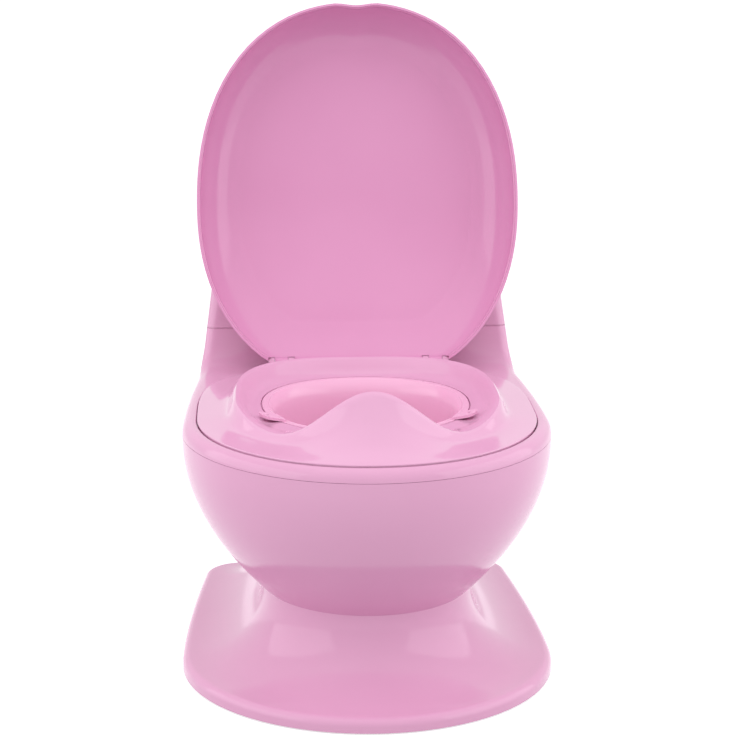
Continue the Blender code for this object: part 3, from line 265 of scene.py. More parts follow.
def settle(piece):                     # modifiers become plain mesh, and cutters go
    others = [step.object for step in piece.modifiers if step.type == "BOOLEAN"]
    shaped = piece.evaluated_get(bpy.context.evaluated_depsgraph_get())
    mesh = bpy.data.meshes.new_from_object(shaped)
    piece.modifiers.clear()
    piece.data = mesh
    for other in others:
        bpy.data.objects.remove(other, do_unlink=True)
    return piece


def weld(piece):                       # points that a cut left almost on each other
    body = bmesh.new()
    body.from_mesh(piece.data)
    bmesh.ops.remove_doubles(body, verts=body.verts, dist=same["seam"])
    body.to_mesh(piece.data)
    body.free()


def finish(piece, material, body, slot, *nodes, weighted=True):
    mesh = piece.data
    mesh.name = piece.name
    mesh.shade_smooth()
    mesh.set_sharp_from_angle(angle=smoothAngle)
    mesh.materials.clear()
    mesh.materials.append(material)
    if weighted:
        step = piece.modifiers.new("even_normals", "WEIGHTED_NORMAL")
        step.keep_sharp = True
        settle(piece)
    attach(piece, body)
    if nodes:
        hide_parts(*nodes)
    bpy.context.view_layer.update()
    print("made", piece.name, len(piece.data.polygons), "faces")


def quarterRound(steps):               # 1 - cosine and sine, at even steps of a quarter turn
    angles = [step / steps * math.pi / 2 for step in range(steps + 1)]
    return [(1 - math.cos(angle), math.sin(angle)) for angle in angles]


# Plan outlines: each runs from the front centre round the right to the back centre

stations = 30                          # in each quarter of an outline
cornerSteps = {"outline": 14, "boxFront": 8, "boxBack": 10}
taperPower = 1.6                       # how late the sides start to draw in towards the back


def eased(share):                      # closer together at both ends
    return (1 - math.cos(math.pi * share)) / 2


def quarterPoint(halfWidth, reach, power, share):
    angle = eased(share) * math.pi / 2
    return (halfWidth * math.sin(angle) ** (2 / power), reach * math.cos(angle) ** (2 / power))


def arc(x, y, radius, steps, startTurn):             # a quarter turn round a corner
    return [(x + radius * math.cos(angle), y + radius * math.sin(angle))
            for angle in ((startTurn + i / steps) * math.pi / 2 for i in range(steps + 1))]


def boxed(frontX, front, frontCorner, backX, back, backCorner):          # a box with round corners
    half = [(0.0, front)]
    half += arc(frontX - frontCorner, front + frontCorner, frontCorner, cornerSteps["boxFront"], -1.0)
    half += arc(backX - backCorner, back - backCorner, backCorner, cornerSteps["boxBack"], 0.0)
    return half + [(0.0, back)]


def egg(size, frontPower=2.0, backPower=2.0):
    halfWidth, front, widest, back = size
    half = []
    for step in range(stations + 1):
        x, y = quarterPoint(halfWidth, widest - front, frontPower, step / stations)
        half.append((x, widest - y))
    for step in range(stations - 1, -1, -1):
        x, y = quarterPoint(halfWidth, back - widest, backPower, step / stations)
        half.append((x, widest + y))
    return half


def taperedX(y, halfWidth, widest, back, taper):
    share = max(0.0, (y - widest) / (back - widest))
    return halfWidth - taper * share ** taperPower


def squareBacked(size, taper, corner):
    halfWidth, front, widest, back = size
    half = []
    for step in range(stations + 1):
        x, y = quarterPoint(halfWidth, widest - front, 2.0, step / stations)
        half.append((x, widest - y))
    sideEnd = back - corner
    for step in range(1, stations):
        y = widest + (sideEnd - widest) * step / stations
        half.append((taperedX(y, halfWidth, widest, back, taper), y))
    endX = taperedX(sideEnd, halfWidth, widest, back, taper)
    half += arc(endX - corner, sideEnd, corner, cornerSteps["outline"], 0.0)
    backSteps = 8
    for step in range(1, backSteps + 1):
        half.append(((endX - corner) * (1 - step / backSteps), back))
    return half


def grown(half, by):                   # moved outwards, square to the edge
    moved = []
    for place, (x, y) in enumerate(half):
        if place == 0:
            moved.append((0.0, y - by))
        elif place == len(half) - 1:
            moved.append((0.0, y + by))
        else:
            before, after = half[place - 1], half[place + 1]
            run = Vector((after[0] - before[0], after[1] - before[1])).normalized()
            moved.append((max(0.0, x + run.y * by), y - run.x * by))
    return moved


def mixed(first, second, share):
    return [(ax + (bx - ax) * share, ay + (by - ay) * share)
            for (ax, ay), (bx, by) in zip(first, second)]


def towards(half, y, share):
    return [(x * share, y + (here - y) * share) for x, here in half]


def mirrored(half, z):
    return mirroredAt(half, [z] * len(half))


def mirroredAt(half, heights):
    right = [Vector((x, y, z)) for (x, y), z in zip(half, heights)]
    return right + [Vector((-p.x, p.y, p.z)) for p in reversed(right[1:-1])]


def smoothRows(rows, perSpan):         # a smooth run through rows, never past a row's own values
    slopes = []
    last = len(rows) - 1
    for place in range(last + 1):
        before = rows[max(0, place - 1)]
        here = rows[place]
        after = rows[min(last, place + 1)]
        slope = []
        for low, middle, high in zip(before, here, after):
            down, up = middle - low, high - middle
            if place in (0, last):
                slope.append(down + up)
            else:
                slope.append(2 * down * up / (down + up) if down * up > 0 else 0.0)
        slopes.append(slope)
    smooth = [tuple(rows[0])]
    for place in range(last):
        for step in range(1, perSpan + 1):
            t = step / perSpan
            startShare = (1 + 2 * t) * (1 - t) ** 2
            endShare = t * t * (3 - 2 * t)
            startPull = t * (1 - t) ** 2
            endPull = t * t * (t - 1)
            smooth.append(tuple(
                a * startShare + b * endShare + da * startPull + db * endPull
                for a, b, da, db in zip(rows[place], rows[place + 1], slopes[place], slopes[place + 1])))
    return smooth


def insideOf(profile, thickness):      # the inside of a wall with an (inset, height) profile
    inside = []
    last = len(profile) - 1
    for place, (inset, height) in enumerate(profile):
        before, after = profile[max(0, place - 1)], profile[min(last, place + 1)]
        run = Vector((after[0] - before[0], after[1] - before[1])).normalized()
        if place == 0:
            run = Vector((0.0, 1.0))
        if place == last:
            run = Vector((1.0, 0.0))
        inside.append((inset + thickness * run.y, height - thickness * run.x))
    return inside


def smoothStep(share):
    share = min(1.0, max(0.0, share))
    return share * share * (3 - 2 * share)


# Rim, tank and cap outlines

rim = {
    "halfWidth": upperHigh.x, "front": upperLow.y, "back": upperHigh.y, "widest": -0.035,
    "taper": 0.0193, "corner": 0.022, "parting": baseHigh.z + fitGap,
    "top": baseHigh.z + fitGap + 0.0105, "rollIn": 0.0085, "rollDown": 0.0105,
    "deck": 0.1990, "deckThickness": 0.0025, "seatGap": 0.0012, "recessEdge": 0.0007,
    "recessRound": ((0.0, 1.0), (0.2, 0.5), (0.5, 0.2), (1.0, 0.0)),      # out, down: shares of recessEdge
    "openingHalf": 0.096, "openingFront": -0.130, "openingBack": 0.088, "openingPowers": (2.2, 2.6),
}
tank = {
    "groove": 0.0008,                  # shadow line under the cap
    "seam": upperHigh.z, "top": capHigh.z, "lean": math.tan(math.radians(13.0)), "draft": 0.10,
    "backDraft": 0.3,                  # share of the sides' draft
    "front": 0.147, "back": 0.1975, "backSet": 0.0025, "edge": 0.0090, "crown": 0.0115,
    "corner": 0.009, "leastCorner": 0.002, "cornerShare": 0.8, "foldStart": 0.150,
    "footInset": 0.0008, "footBlend": 0.020,
    # the sweep from the rim up into the tank's face
    "sweepStart": 0.112, "sweepPull": 0.0255, "sweepHeight": 0.020, "sweepReach": 0.020,
    "sweepPower": 2.5, "facePull": 0.012,
    "binHalf": 0.110, "binBack": 0.186, "binSet": 0.004, "binCorner": 0.009, "binBackCorner": 0.025,
}
rimOutline = squareBacked((rim["halfWidth"], rim["front"], rim["widest"], rim["back"]),
                          rim["taper"], rim["corner"])


def tankInset(z):
    rise = max(0.0, z - rim["top"])
    return rise * tank["draft"] + tank["footInset"] * smoothStep(rise / tank["footBlend"])


def wallX(y, z):
    return taperedX(y, rim["halfWidth"], rim["widest"], rim["back"], rim["taper"]) - tankInset(z)


# The rim, the tank's foot and the tank are one skin: rows run across it from the front tip
# back along the rim, up the tank's front, over its crown and down its back

rollSteps = 9
sideSteps = 26                         # down the side walls and down the back
across = [-0.985, -0.95, -0.85, -0.7, -0.5, -0.25, 0.0, 0.25, 0.5, 0.7, 0.85, 0.95, 0.985]
rollAngles = [math.pi / 2 * (1 - i / rollSteps) for i in range(rollSteps + 1)]
crownZ = tank["top"] - tank["crown"]
crownBackY = tank["back"] - tank["backSet"] - tank["crown"]
cornerEnd = rim["back"] - rim["corner"]


def backPoint(share):                  # down the back face, and how round its corners are there
    corner = tank["crown"] + (rim["corner"] - tank["crown"]) * smoothStep(share / tank["cornerShare"])
    y = crownBackY + tank["crown"] + (rim["back"] - crownBackY - tank["crown"]) * share
    return y, crownZ + (rim["parting"] - crownZ) * share, corner


def bezier(start, pullStart, pullEnd, end, t):
    return ((1 - t) ** 3 * start + 3 * t * (1 - t) ** 2 * pullStart
            + 3 * t * t * (1 - t) * pullEnd + t ** 3 * end)


def bezierRun(start, pullStart, pullEnd, end, t):
    run = ((1 - t) ** 2 * (pullStart - start) + 2 * t * (1 - t) * (pullEnd - pullStart)
           + t * t * (end - pullEnd))
    return run.normalized()


def shellPath():                       # (place, outward, roll in, roll down) in (y, z), back over the tank
    radius = tank["crown"]
    up = Vector((tank["lean"], 1.0)).normalized()
    out = Vector((-up.y, up.x))
    seam = Vector((tank["front"], tank["seam"]))
    flat = Vector((0.0, 1.0))
    path = []
    flatSteps = 16
    for step in range(1, flatSteps + 1):
        y = rim["widest"] + (tank["sweepStart"] - rim["widest"]) * step / flatSteps
        path.append((Vector((y, rim["top"])), flat, rim["rollIn"], rim["rollDown"]))
    start = Vector((tank["sweepStart"], rim["top"]))
    end = seam + up * ((rim["top"] + tank["sweepHeight"] - seam.y) / up.y)
    pulls = (start + Vector((tank["sweepPull"], 0.0)), end - up * tank["facePull"])
    sweepSteps = 20
    for step in range(1, sweepSteps + 1):
        t = step / sweepSteps
        run = bezierRun(start, *pulls, end, t)
        path.append((bezier(start, *pulls, end, t), Vector((-run.y, run.x)),
                     rim["rollIn"] + (tank["edge"] - rim["rollIn"]) * t,
                     rim["rollDown"] + (tank["edge"] - rim["rollDown"]) * t))
    centre = Vector((seam.x - (radius + (crownZ - seam.y) * out.y) / out.x, crownZ))
    crownStart = centre + out * radius
    faceSteps = 16
    for step in range(1, faceSteps + 1):
        t = step / faceSteps
        roll = tank["edge"] + (radius - tank["edge"]) * smoothStep(t)
        path.append((end.lerp(crownStart, t), out, roll, roll))
    crownSteps = 9
    startAngle = math.atan2(out.y, out.x)
    for step in range(1, crownSteps + 1):
        angle = startAngle + (math.pi / 2 - startAngle) * step / crownSteps
        away = Vector((math.cos(angle), math.sin(angle)))
        path.append((centre + away * radius, away, radius, radius))
    topSteps = 6
    for step in range(1, topSteps + 1):
        y = centre.x + (crownBackY - centre.x) * step / topSteps
        path.append((Vector((y, tank["top"])), flat, radius, radius))
    for step in range(1, crownSteps + 1):
        angle = math.pi / 2 * (1 - step / crownSteps)
        away = Vector((math.cos(angle), math.sin(angle)))
        path.append((Vector((crownBackY, crownZ)) + away * radius, away, radius, radius))
    return path


def bothSides(right, middle):          # a whole row from its right half, which runs from the edge inwards
    left = [Vector((-p.x, p.y, p.z)) for p in right]
    return left + middle + list(reversed(right))


def rollRow(place, out, rollIn, rollDown, cornerY):
    right = []
    for angle in rollAngles:
        spot = place - out * (rollDown * (1 - math.cos(angle)))
        x = wallX(min(spot.x, cornerY), spot.y) - rollIn * (1 - math.sin(angle))
        right.append(Vector((x, spot.x, spot.y)))
    middle = [Vector((u * right[-1].x, right[-1].y, right[-1].z)) for u in across]
    return right, middle


def sideColumn(top):                   # down a side wall from the end of a roll, bottom first
    column = []
    foldStart = tank["foldStart"]
    footY = top.y
    if footY > foldStart:
        footY = foldStart + (footY - foldStart) * (cornerEnd - foldStart) / (crownBackY - foldStart)
    for step in range(sideSteps, 0, -1):
        share = step / sideSteps
        backY, _, corner = backPoint(share)
        bend = (backY - corner - cornerEnd) / (crownBackY - cornerEnd)
        y = footY + (top.y - footY) * bend
        z = top.z + (rim["parting"] - top.z) * share
        column.append(Vector((wallX(y, z), y, z)))
    return column


def shellSolid(name):
    rows = []
    quarter = rimOutline[:stations + 1]
    for place, (x, y) in enumerate(quarter):
        before, after = quarter[max(0, place - 1)], quarter[min(stations, place + 1)]
        run = Vector((after[0] - before[0], after[1] - before[1])).normalized()
        if place == 0:
            run = Vector((1.0, 0.0))
        if place == stations:
            run = Vector((0.0, 1.0))
        right = []
        for angle in rollAngles:
            inset = rim["rollIn"] * (1 - math.sin(angle))
            z = rim["top"] - rim["rollDown"] * (1 - math.cos(angle))
            right.append(Vector((max(0.0, x - run.y * inset), y + run.x * inset, z)))
        middle = [Vector((u * right[-1].x, right[-1].y, right[-1].z)) for u in across]
        rows.append(bothSides([right[0]] * sideSteps + right, middle))
    for place, out, rollIn, rollDown in shellPath():
        cornerY = place.x - rollDown * out.x if out.x > 0 else rim["back"]
        right, middle = rollRow(place, out, rollIn, rollDown, cornerY)
        rows.append(bothSides(sideColumn(right[0]) + right, middle))
    count = len(rows[0])
    body = bmesh.new()
    grid = [[body.verts.new(point) for point in row] for row in rows]
    quads = [(grid[r][c], grid[r][c + 1], grid[r + 1][c + 1], grid[r + 1][c])
             for r in range(len(grid) - 1) for c in range(count - 1)]
    last = grid[-1][sideSteps:count - sideSteps]
    for step in range(1, sideSteps + 1):
        y, z, corner = backPoint(step / sideSteps)
        right, middle = rollRow(Vector((y, z)), Vector((1.0, 0.0)), corner, corner, y - corner)
        row = [body.verts.new(point) for point in bothSides(right, middle)]
        quads += [(last[c], last[c + 1], row[c + 1], row[c]) for c in range(len(row) - 1)]
        last = row
    for quad in quads:
        body.faces.new(quad)
    bmesh.ops.remove_doubles(body, verts=body.verts, dist=same["skin"])
    bmesh.ops.dissolve_degenerate(body, edges=body.edges, dist=same["edge"])
    openEdges = [edge for edge in body.edges if edge.is_boundary]
    bmesh.ops.holes_fill(body, edges=openEdges, sides=0)
    bmesh.ops.recalc_face_normals(body, faces=body.faces)
    mesh = bpy.data.meshes.new(name)
    body.to_mesh(mesh)
    body.free()
    return addPiece(name, mesh)


def tankRing(z, shrink=0.0, corner=tank["corner"]):
    sweep = max(0.0, 1 - (z - rim["top"]) / tank["sweepHeight"])
    front = (tank["front"] + (z - tank["seam"]) * tank["lean"]
             - tank["sweepReach"] * sweep ** tank["sweepPower"] + shrink)
    back = tank["back"] - tank["backDraft"] * tankInset(z) - shrink
    backCorner = rim["corner"] - shrink
    frontCorner = max(tank["leastCorner"], corner - shrink)
    frontX = wallX(front + frontCorner, z) - shrink
    backX = wallX(back - backCorner, z) - shrink
    return mirrored(boxed(frontX, front, frontCorner, backX, back, backCorner), z)


# Pink polypropylene, injection moulded in polished steel. Each: its colour, a deeper tone, roughness

pinkPlastics = {
    # large outer mouldings: clear soft window shapes that waver a little
    "pink_polypropylene_shell": ("#daa2c3", "#d69abd", 0.12),
    # the best polished mould, for skin: brighter, tighter lights on crest and guard
    "pink_polypropylene_seat": ("#dea8c8", "#daa0c2", 0.08),
    # a deep dish, less polished inside: the lights spread and stay dim; its deeper pink is painted shade
    "pink_polypropylene_lid": ("#db99c1", "#d691bb", 0.16),
    # thin, and painted paler as painted light, so its inside reads lit beside the seat
    "pink_polypropylene_pot": ("#eeb8d6", "#eab0d0", 0.16),
}
mouldTexture = {
    "flow": 0.085,                     # the melt's slow drift of tone, across a hand's breadth
    "peel": 0.0035, "peelDepth": 0.00002,          # orange peel: what makes a reflection's edge waver
    "rub": 0.012,                      # where hands and cloths have dulled the gloss a little
    "rubLess": 0.03, "rubMore": 0.04, "ior": 1.49, "peelStrength": 0.25,
}


def patternSpace(tree, size):          # object coordinates, so that one pattern unit is size metres
    place = addNode(tree, "ShaderNodeTexCoord")
    return addNode(tree, "ShaderNodeMapping", {
        "Scale": (1 / size, 1 / size, 1 / size), "Vector": place.outputs["Object"]}).outputs["Vector"]


def mouldedPink(name):
    colour, deeper, roughness = pinkPlastics[name]
    material, tree = emptyMaterial(name)
    flow = addNode(tree, "ShaderNodeTexNoise", {
        "Scale": 1.0, "Detail": 2.0, "Vector": patternSpace(tree, mouldTexture["flow"])})
    tint = addNode(tree, "ShaderNodeMix", {
        "A": hexColour(colour), "B": hexColour(deeper), "Factor": flow.outputs["Fac"]}, data_type="RGBA")
    rub = addNode(tree, "ShaderNodeTexNoise", {
        "Scale": 1.0, "Detail": 4.0, "Vector": patternSpace(tree, mouldTexture["rub"])})
    sheen = addNode(tree, "ShaderNodeMapRange", {
        "From Min": 0.3, "From Max": 0.7, "To Min": roughness - mouldTexture["rubLess"],
        "To Max": roughness + mouldTexture["rubMore"], "Value": rub.outputs["Fac"]})
    peel = addNode(tree, "ShaderNodeTexNoise", {
        "Scale": 1.0, "Detail": 1.0, "Vector": patternSpace(tree, mouldTexture["peel"])})
    bump = addNode(tree, "ShaderNodeBump", {
        "Strength": mouldTexture["peelStrength"], "Distance": mouldTexture["peelDepth"],
        "Height": peel.outputs["Fac"]})
    shader = addNode(tree, "ShaderNodeBsdfPrincipled", {
        "IOR": mouldTexture["ior"], "Base Color": tint.outputs["Result"],
        "Roughness": sheen.outputs["Result"], "Normal": bump.outputs["Normal"]})
    addNode(tree, "ShaderNodeOutputMaterial", {"Surface": shader})
    return material


# the lid's pink is painted deeper, as painted shade
# the pot's pink is painted paler, as painted light
shellPink, seatPink, lidPinkPaintedShade, potPinkPaintedLight = (mouldedPink(name) for name in pinkPlastics)


# Small parts' materials

grainStrength = 0.6


def smallFinish(name, tone, deeper, size, roughness, spread, metallic=0.0, grainSize=None, grainDepth=0.0):
    material, tree = emptyMaterial(name)
    noise = addNode(tree, "ShaderNodeTexNoise", {
        "Scale": 1.0, "Detail": 3.0, "Vector": patternSpace(tree, size)})
    tint = addNode(tree, "ShaderNodeMix", {
        "A": hexColour(tone), "B": hexColour(deeper), "Factor": noise.outputs["Fac"]}, data_type="RGBA")
    sheen = addNode(tree, "ShaderNodeMapRange", {
        "To Min": roughness - spread, "To Max": roughness + spread, "Value": noise.outputs["Fac"]})
    look = {"Base Color": tint.outputs["Result"], "Metallic": metallic,
            "Roughness": sheen.outputs["Result"]}
    if grainSize:
        grain = addNode(tree, "ShaderNodeTexNoise", {
            "Scale": 1.0, "Detail": 2.0, "Vector": patternSpace(tree, grainSize)})
        bump = addNode(tree, "ShaderNodeBump", {
            "Strength": grainStrength, "Distance": grainDepth, "Height": grain.outputs["Fac"]})
        look["Normal"] = bump.outputs["Normal"]
    shader = addNode(tree, "ShaderNodeBsdfPrincipled", look)
    addNode(tree, "ShaderNodeOutputMaterial", {"Surface": shader})
    return material


# each: tone, deeper tone, size of its mottling, roughness and how far that varies, metallic,
# then the size and the depth of its grain
smallFinishes = {
    # ABS with a plated skin: a bright mirror, a little misty where fingers press
    "chrome_plated_abs": ("#d2d4d8", "#c6c8cd", 0.010, 0.12, 0.04, 1.0),
    # ABS from a spark-eroded mould: fine even grain, so a soft satin with no clear reflection
    "satin_white_abs": ("#e6e6e2", "#dededa", 0.008, 0.45, 0.05, 0.0, 0.0006, 0.00003),
    # moulded nylon: near black, with a dull sheen
    "black_nylon": ("#1a1a1c", "#242427", 0.003, 0.5, 0.08, 0.0, 0.0005, 0.00002),
    # lacquer over a circuit board: deep green with a wet-looking shine
    "green_solder_mask": ("#1c5a2c", "#24683a", 0.004, 0.35, 0.05),
    # steel with a zinc coat: grey and slightly cloudy
    "zinc_plated_steel": ("#b6b8bb", "#a5a7ac", 0.002, 0.34, 0.10, 1.0),
    # drawn wire: a darker grey that glints along its length
    "spring_steel_wire": ("#a6a8ab", "#8f9195", 0.001, 0.30, 0.08, 1.0),
    # shrunk plastic film round a cell: smooth, with broad lights
    "blue_cell_sleeve": ("#29446f", "#2f4c79", 0.006, 0.32, 0.05),
    # pressed paper: quite dull and faintly fibrous
    "black_paper_cone": ("#151515", "#202020", 0.001, 0.85, 0.08, 0.0, 0.0004, 0.00004),
    # soft moulded rubber: pale grey, chalky, with a fine tooth
    "grey_thermoplastic_rubber": ("#b9b4b7", "#aca7aa", 0.003, 0.78, 0.07, 0.0, 0.0008, 0.00004),
}
finishes = {name: smallFinish(name, *values) for name, values in smallFinishes.items()}
print("materials are ready")


# Base shell: foot, neck and bowl in one moulding

foot = {
    "halfWidth": baseHigh.x, "front": baseLow.y, "widest": -0.040, "back": baseHigh.y, "taper": 0.0195,
    "corner": 0.032, "edge": 0.0125, "rounding": 0.0062, "lift": 0.0012,
    "neckHalf": 0.0845, "neckBack": 0.145, "neckTaper": 0.012, "neckCorner": 0.045,
    "neckLow": 0.066, "neckHigh": 0.071, "land": 0.004, "rowSpread": 0.8,
}
rubberFeet = {"x": 0.116, "front": -0.100, "rear": 0.155, "height": 0.0040, "pad": 0.0130}
lugs = {"radius": 0.0060, "top": rim["parting"] - 0.0080, "height": 0.0060, "hole": 0.0018,
        "boss": 0.0042, "pilotShort": 0.0012}
lugNodes = ["shell_screw_" + place for place in ("front_left", "front_right", "rear_left", "rear_right")]
moduleScrewNodes = ["module_screw_left", "module_screw_right"]


def nodeCentre(node):
    low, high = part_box(node)
    return (low + high) / 2


def addBoss(piece, node, radius, span, hole, solver="EXACT"):      # round a screw, with its hole
    spot = nodeCentre(node)
    join(piece, drum("boss_" + node, radius, *span, spot, 24), solver)
    cut(piece, drum("pilot_" + node, lugs["hole"], *hole, spot, 20), solver)


def bowlOutline(drop):                 # 0 at the parting line, 1 at the neck
    bulge = 1 - drop ** 2
    halfWidth = foot["neckHalf"] + (rim["halfWidth"] - foot["neckHalf"]) * bulge
    back = foot["neckBack"] + (rim["back"] - foot["neckBack"]) * bulge
    return squareBacked((halfWidth, rim["front"] + rim["halfWidth"] - halfWidth, rim["widest"], back),
                        foot["neckTaper"] + (rim["taper"] - foot["neckTaper"]) * bulge,
                        foot["neckCorner"] + (rim["corner"] - foot["neckCorner"]) * bulge)


def makeBaseShell():
    sole = squareBacked((foot["halfWidth"], foot["front"], foot["widest"], foot["back"]),
                        foot["taper"], foot["corner"])
    neck = bowlOutline(1.0)
    edge, rounding = foot["edge"], foot["rounding"]
    rings = [mirrored(sole, foot["lift"])]
    for inset, rise in quarterRound(6)[:-1]:
        rings.append(mirrored(grown(sole, -rounding * inset), edge - rounding + rounding * rise))
    flareFoot = grown(sole, -rounding)
    flareSteps = 26
    flare = []
    for step in range(flareSteps + 1):
        angle = (1 - step / flareSteps) * math.pi / 2
        z = edge + (foot["neckLow"] - edge) * (1 - math.sin(angle))
        flare.append(mirrored(mixed(neck, flareFoot, 1 - math.cos(angle)), z))
    rings += flare
    bowlSteps = 34
    landZ = baseHigh.z - foot["land"]
    for step in range(bowlSteps, -1, -1):
        drop = (step / bowlSteps) ** foot["rowSpread"]
        rings.append(mirrored(bowlOutline(drop), landZ - (landZ - foot["neckHigh"]) * drop))
    rings.append(mirrored(bowlOutline(0.0), baseHigh.z))
    shell = loft("base_moulding", rings)
    addWall(shell, wall)
    sunk = [[point - Vector((0.0, 0.0, wall / 2)) for point in ring] for ring in flare[::2]]
    for number, (x, y) in enumerate(footPlaces()):
        pad = drum("pad_%d" % number, rubberFeet["pad"], rubberFeet["height"] + fitGap,
                   foot["neckLow"] / 2, (x, y))
        underSkin = loft("under_skin_%d" % number, [mirrored(flareFoot, 0.0)] + sunk, True, True)
        combine(pad, underSkin, "INTERSECT")
        join(shell, settle(pad))
    lugLow, lugHigh = lugs["top"] - lugs["height"], lugs["top"]
    for node in lugNodes:
        addBoss(shell, node, lugs["radius"], (lugLow, lugHigh), (lugLow - 2 * spare, lugHigh + 2 * spare))
    settle(shell)
    finish(shell, shellPink, "base", "shell_plastic", "base_shell")


def footPlaces():
    return [(x, y) for x in (-rubberFeet["x"], rubberFeet["x"])
            for y in (rubberFeet["front"], rubberFeet["rear"])]


makeBaseShell()


# Upper shell: rim, deck and tank body in one moulding. The seat's and the pot's sizes come first,
# because the shell is cut to fit them

seat = {
    "halfWidth": seatHigh.x, "front": seatLow.y, "widest": -0.037, "back": seatHigh.y,
    "frontPower": 2.05, "backPower": 3.5, "edge": 0.0007, "wall": 0.0026,
    "crestHalf": 0.1040, "crestFront": -0.144, "crestWidest": -0.050, "crestBack": 0.089,
    "crestPower": 3.2, "crest": 0.2255, "saddle": 0.2121, "guard": seatHigh.z, "guardHalf": 0.085,
    "riseStart": 0.012, "riseRun": 0.085, "low": seatLow.z,
    "lip": 0.0006, "lipLift": 0.00075, "lipIn": 0.0001, "edgeShare": 0.8,
}
pot = {
    "mouthHalf": 0.0765, "mouthFront": -0.1005, "mouthWidest": -0.013, "mouthBack": 0.068, "power": 2.2,
    "lipWidth": 0.0065, "lip": 0.2115, "floor": potLow.z + 0.0022, "wall": 0.0022,
    "earLength": 0.0145, "earHeading": math.radians(21.7), "earWidth": 0.020, "earThickness": 0.0022,
    "earSlope": 0.25, "earHole": 0.0016, "earY": -0.0596, "earRoot": 0.002, "earSunk": 0.0007,
    "earEnd": 0.5, "earHoleIn": 0.001, "lipStart": 0.0008, "lipRoll": 0.0018, "lipRise": 0.0004,
    "shelf": 0.0038,
}
seatOutline = egg((seat["halfWidth"], seat["front"], seat["widest"], seat["back"]),
                  seat["frontPower"], seat["backPower"])
potOutline = egg((pot["mouthHalf"], pot["mouthFront"], pot["mouthWidest"], pot["mouthBack"]),
                 pot["power"], pot["power"])


def prism(name, half, low, high):
    return loft(name, [mirrored(half, low), mirrored(half, high)], True, True)


def binPrism(name, shrink, low, high):
    halfWidth, front = tank["binHalf"] - shrink, tank["front"] + tank["binSet"] + shrink
    return prism(name, boxed(halfWidth, front, tank["binCorner"] - shrink, halfWidth,
                             tank["binBack"] - shrink, tank["binBackCorner"] - shrink), low, high)


def makeUpperShell():
    shell = shellSolid("rim_and_tank")
    cut(shell, slab("above_seam", tank["seam"], tank["top"] + 20 * spare))
    gap, edge = rim["seatGap"], rim["recessEdge"]            # the recess opens out a little at the top
    recess = [mirrored(grown(seatOutline, gap), rim["deck"])]
    recess += [mirrored(grown(seatOutline, gap + out * edge), rim["top"] - down * edge)
               for out, down in rim["recessRound"]]
    recess.append(mirrored(grown(seatOutline, gap + edge), rim["top"] + 15 * spare))
    cut(shell, loft("seat_recess", recess, True, True))
    cut(shell, prism("rim_hollow", grown(rimOutline, -wall), rim["parting"] - 5 * spare,
                     rim["deck"] - rim["deckThickness"]))
    opening = egg((rim["openingHalf"], rim["openingFront"], seat["crestWidest"], rim["openingBack"]),
                  *rim["openingPowers"])
    cut(shell, prism("deck_opening", opening, rim["deck"] - 10 * spare, rim["deck"] + 10 * spare))
    join(shell, binPrism("storage_bin", 0.0, upperLow.z, rim["deck"]))
    cut(shell, binPrism("storage_space", wall, upperLow.z + wall, rim["deck"] + 8 * spare))
    grooveLow, grooveHigh = tank["seam"] - tank["groove"], tank["seam"] + spare
    groove = [tankRing(grooveLow, tank["groove"]), tankRing(grooveLow, -2 * spare),
              tankRing(grooveHigh, -2 * spare), tankRing(grooveHigh, tank["groove"])]
    cut(shell, loft("seam_groove", groove, wrap=True))
    wellZ = rim["top"] + tank["sweepHeight"] + 2 * spare
    wellFoot = tankRing(wellZ, wall)
    well = [[Vector((p.x, p.y, rim["deck"] + 3 * spare)) for p in wellFoot], wellFoot,
            tankRing(tank["seam"] + 10 * spare, wall)]
    cut(shell, loft("tank_well", well, True, True))
    for node in lugNodes:
        addBoss(shell, node, lugs["boss"], (lugs["top"] + fitGap, rim["deck"] - spare),
                (lugs["top"] - 4 * spare, rim["deck"] - lugs["pilotShort"]))
    settle(shell)
    finish(shell, shellPink, "base", "shell_plastic", "upper_shell")


makeUpperShell()


# Tank cap

cap = {
    "lipDrop": 0.005, "lipWall": 0.0020, "lipGap": 0.0005, "lipBend": (0.0004, 0.0010),
    "lipBite": 0.0012, "lipUp": 0.0050, "reliefHalf": 0.16, "reliefBack": 0.22,
    "buttonRadius": 0.0090, "buttonGap": 0.0004, "collarWall": 0.0018, "collarDepth": 0.0200,
    "collarFloor": 0.0015, "collarShort": 0.0012, "stemHole": 0.0032,
    "bossRadius": 0.0042, "bossShort": 0.0015, "pilotDepth": 0.0095,
}


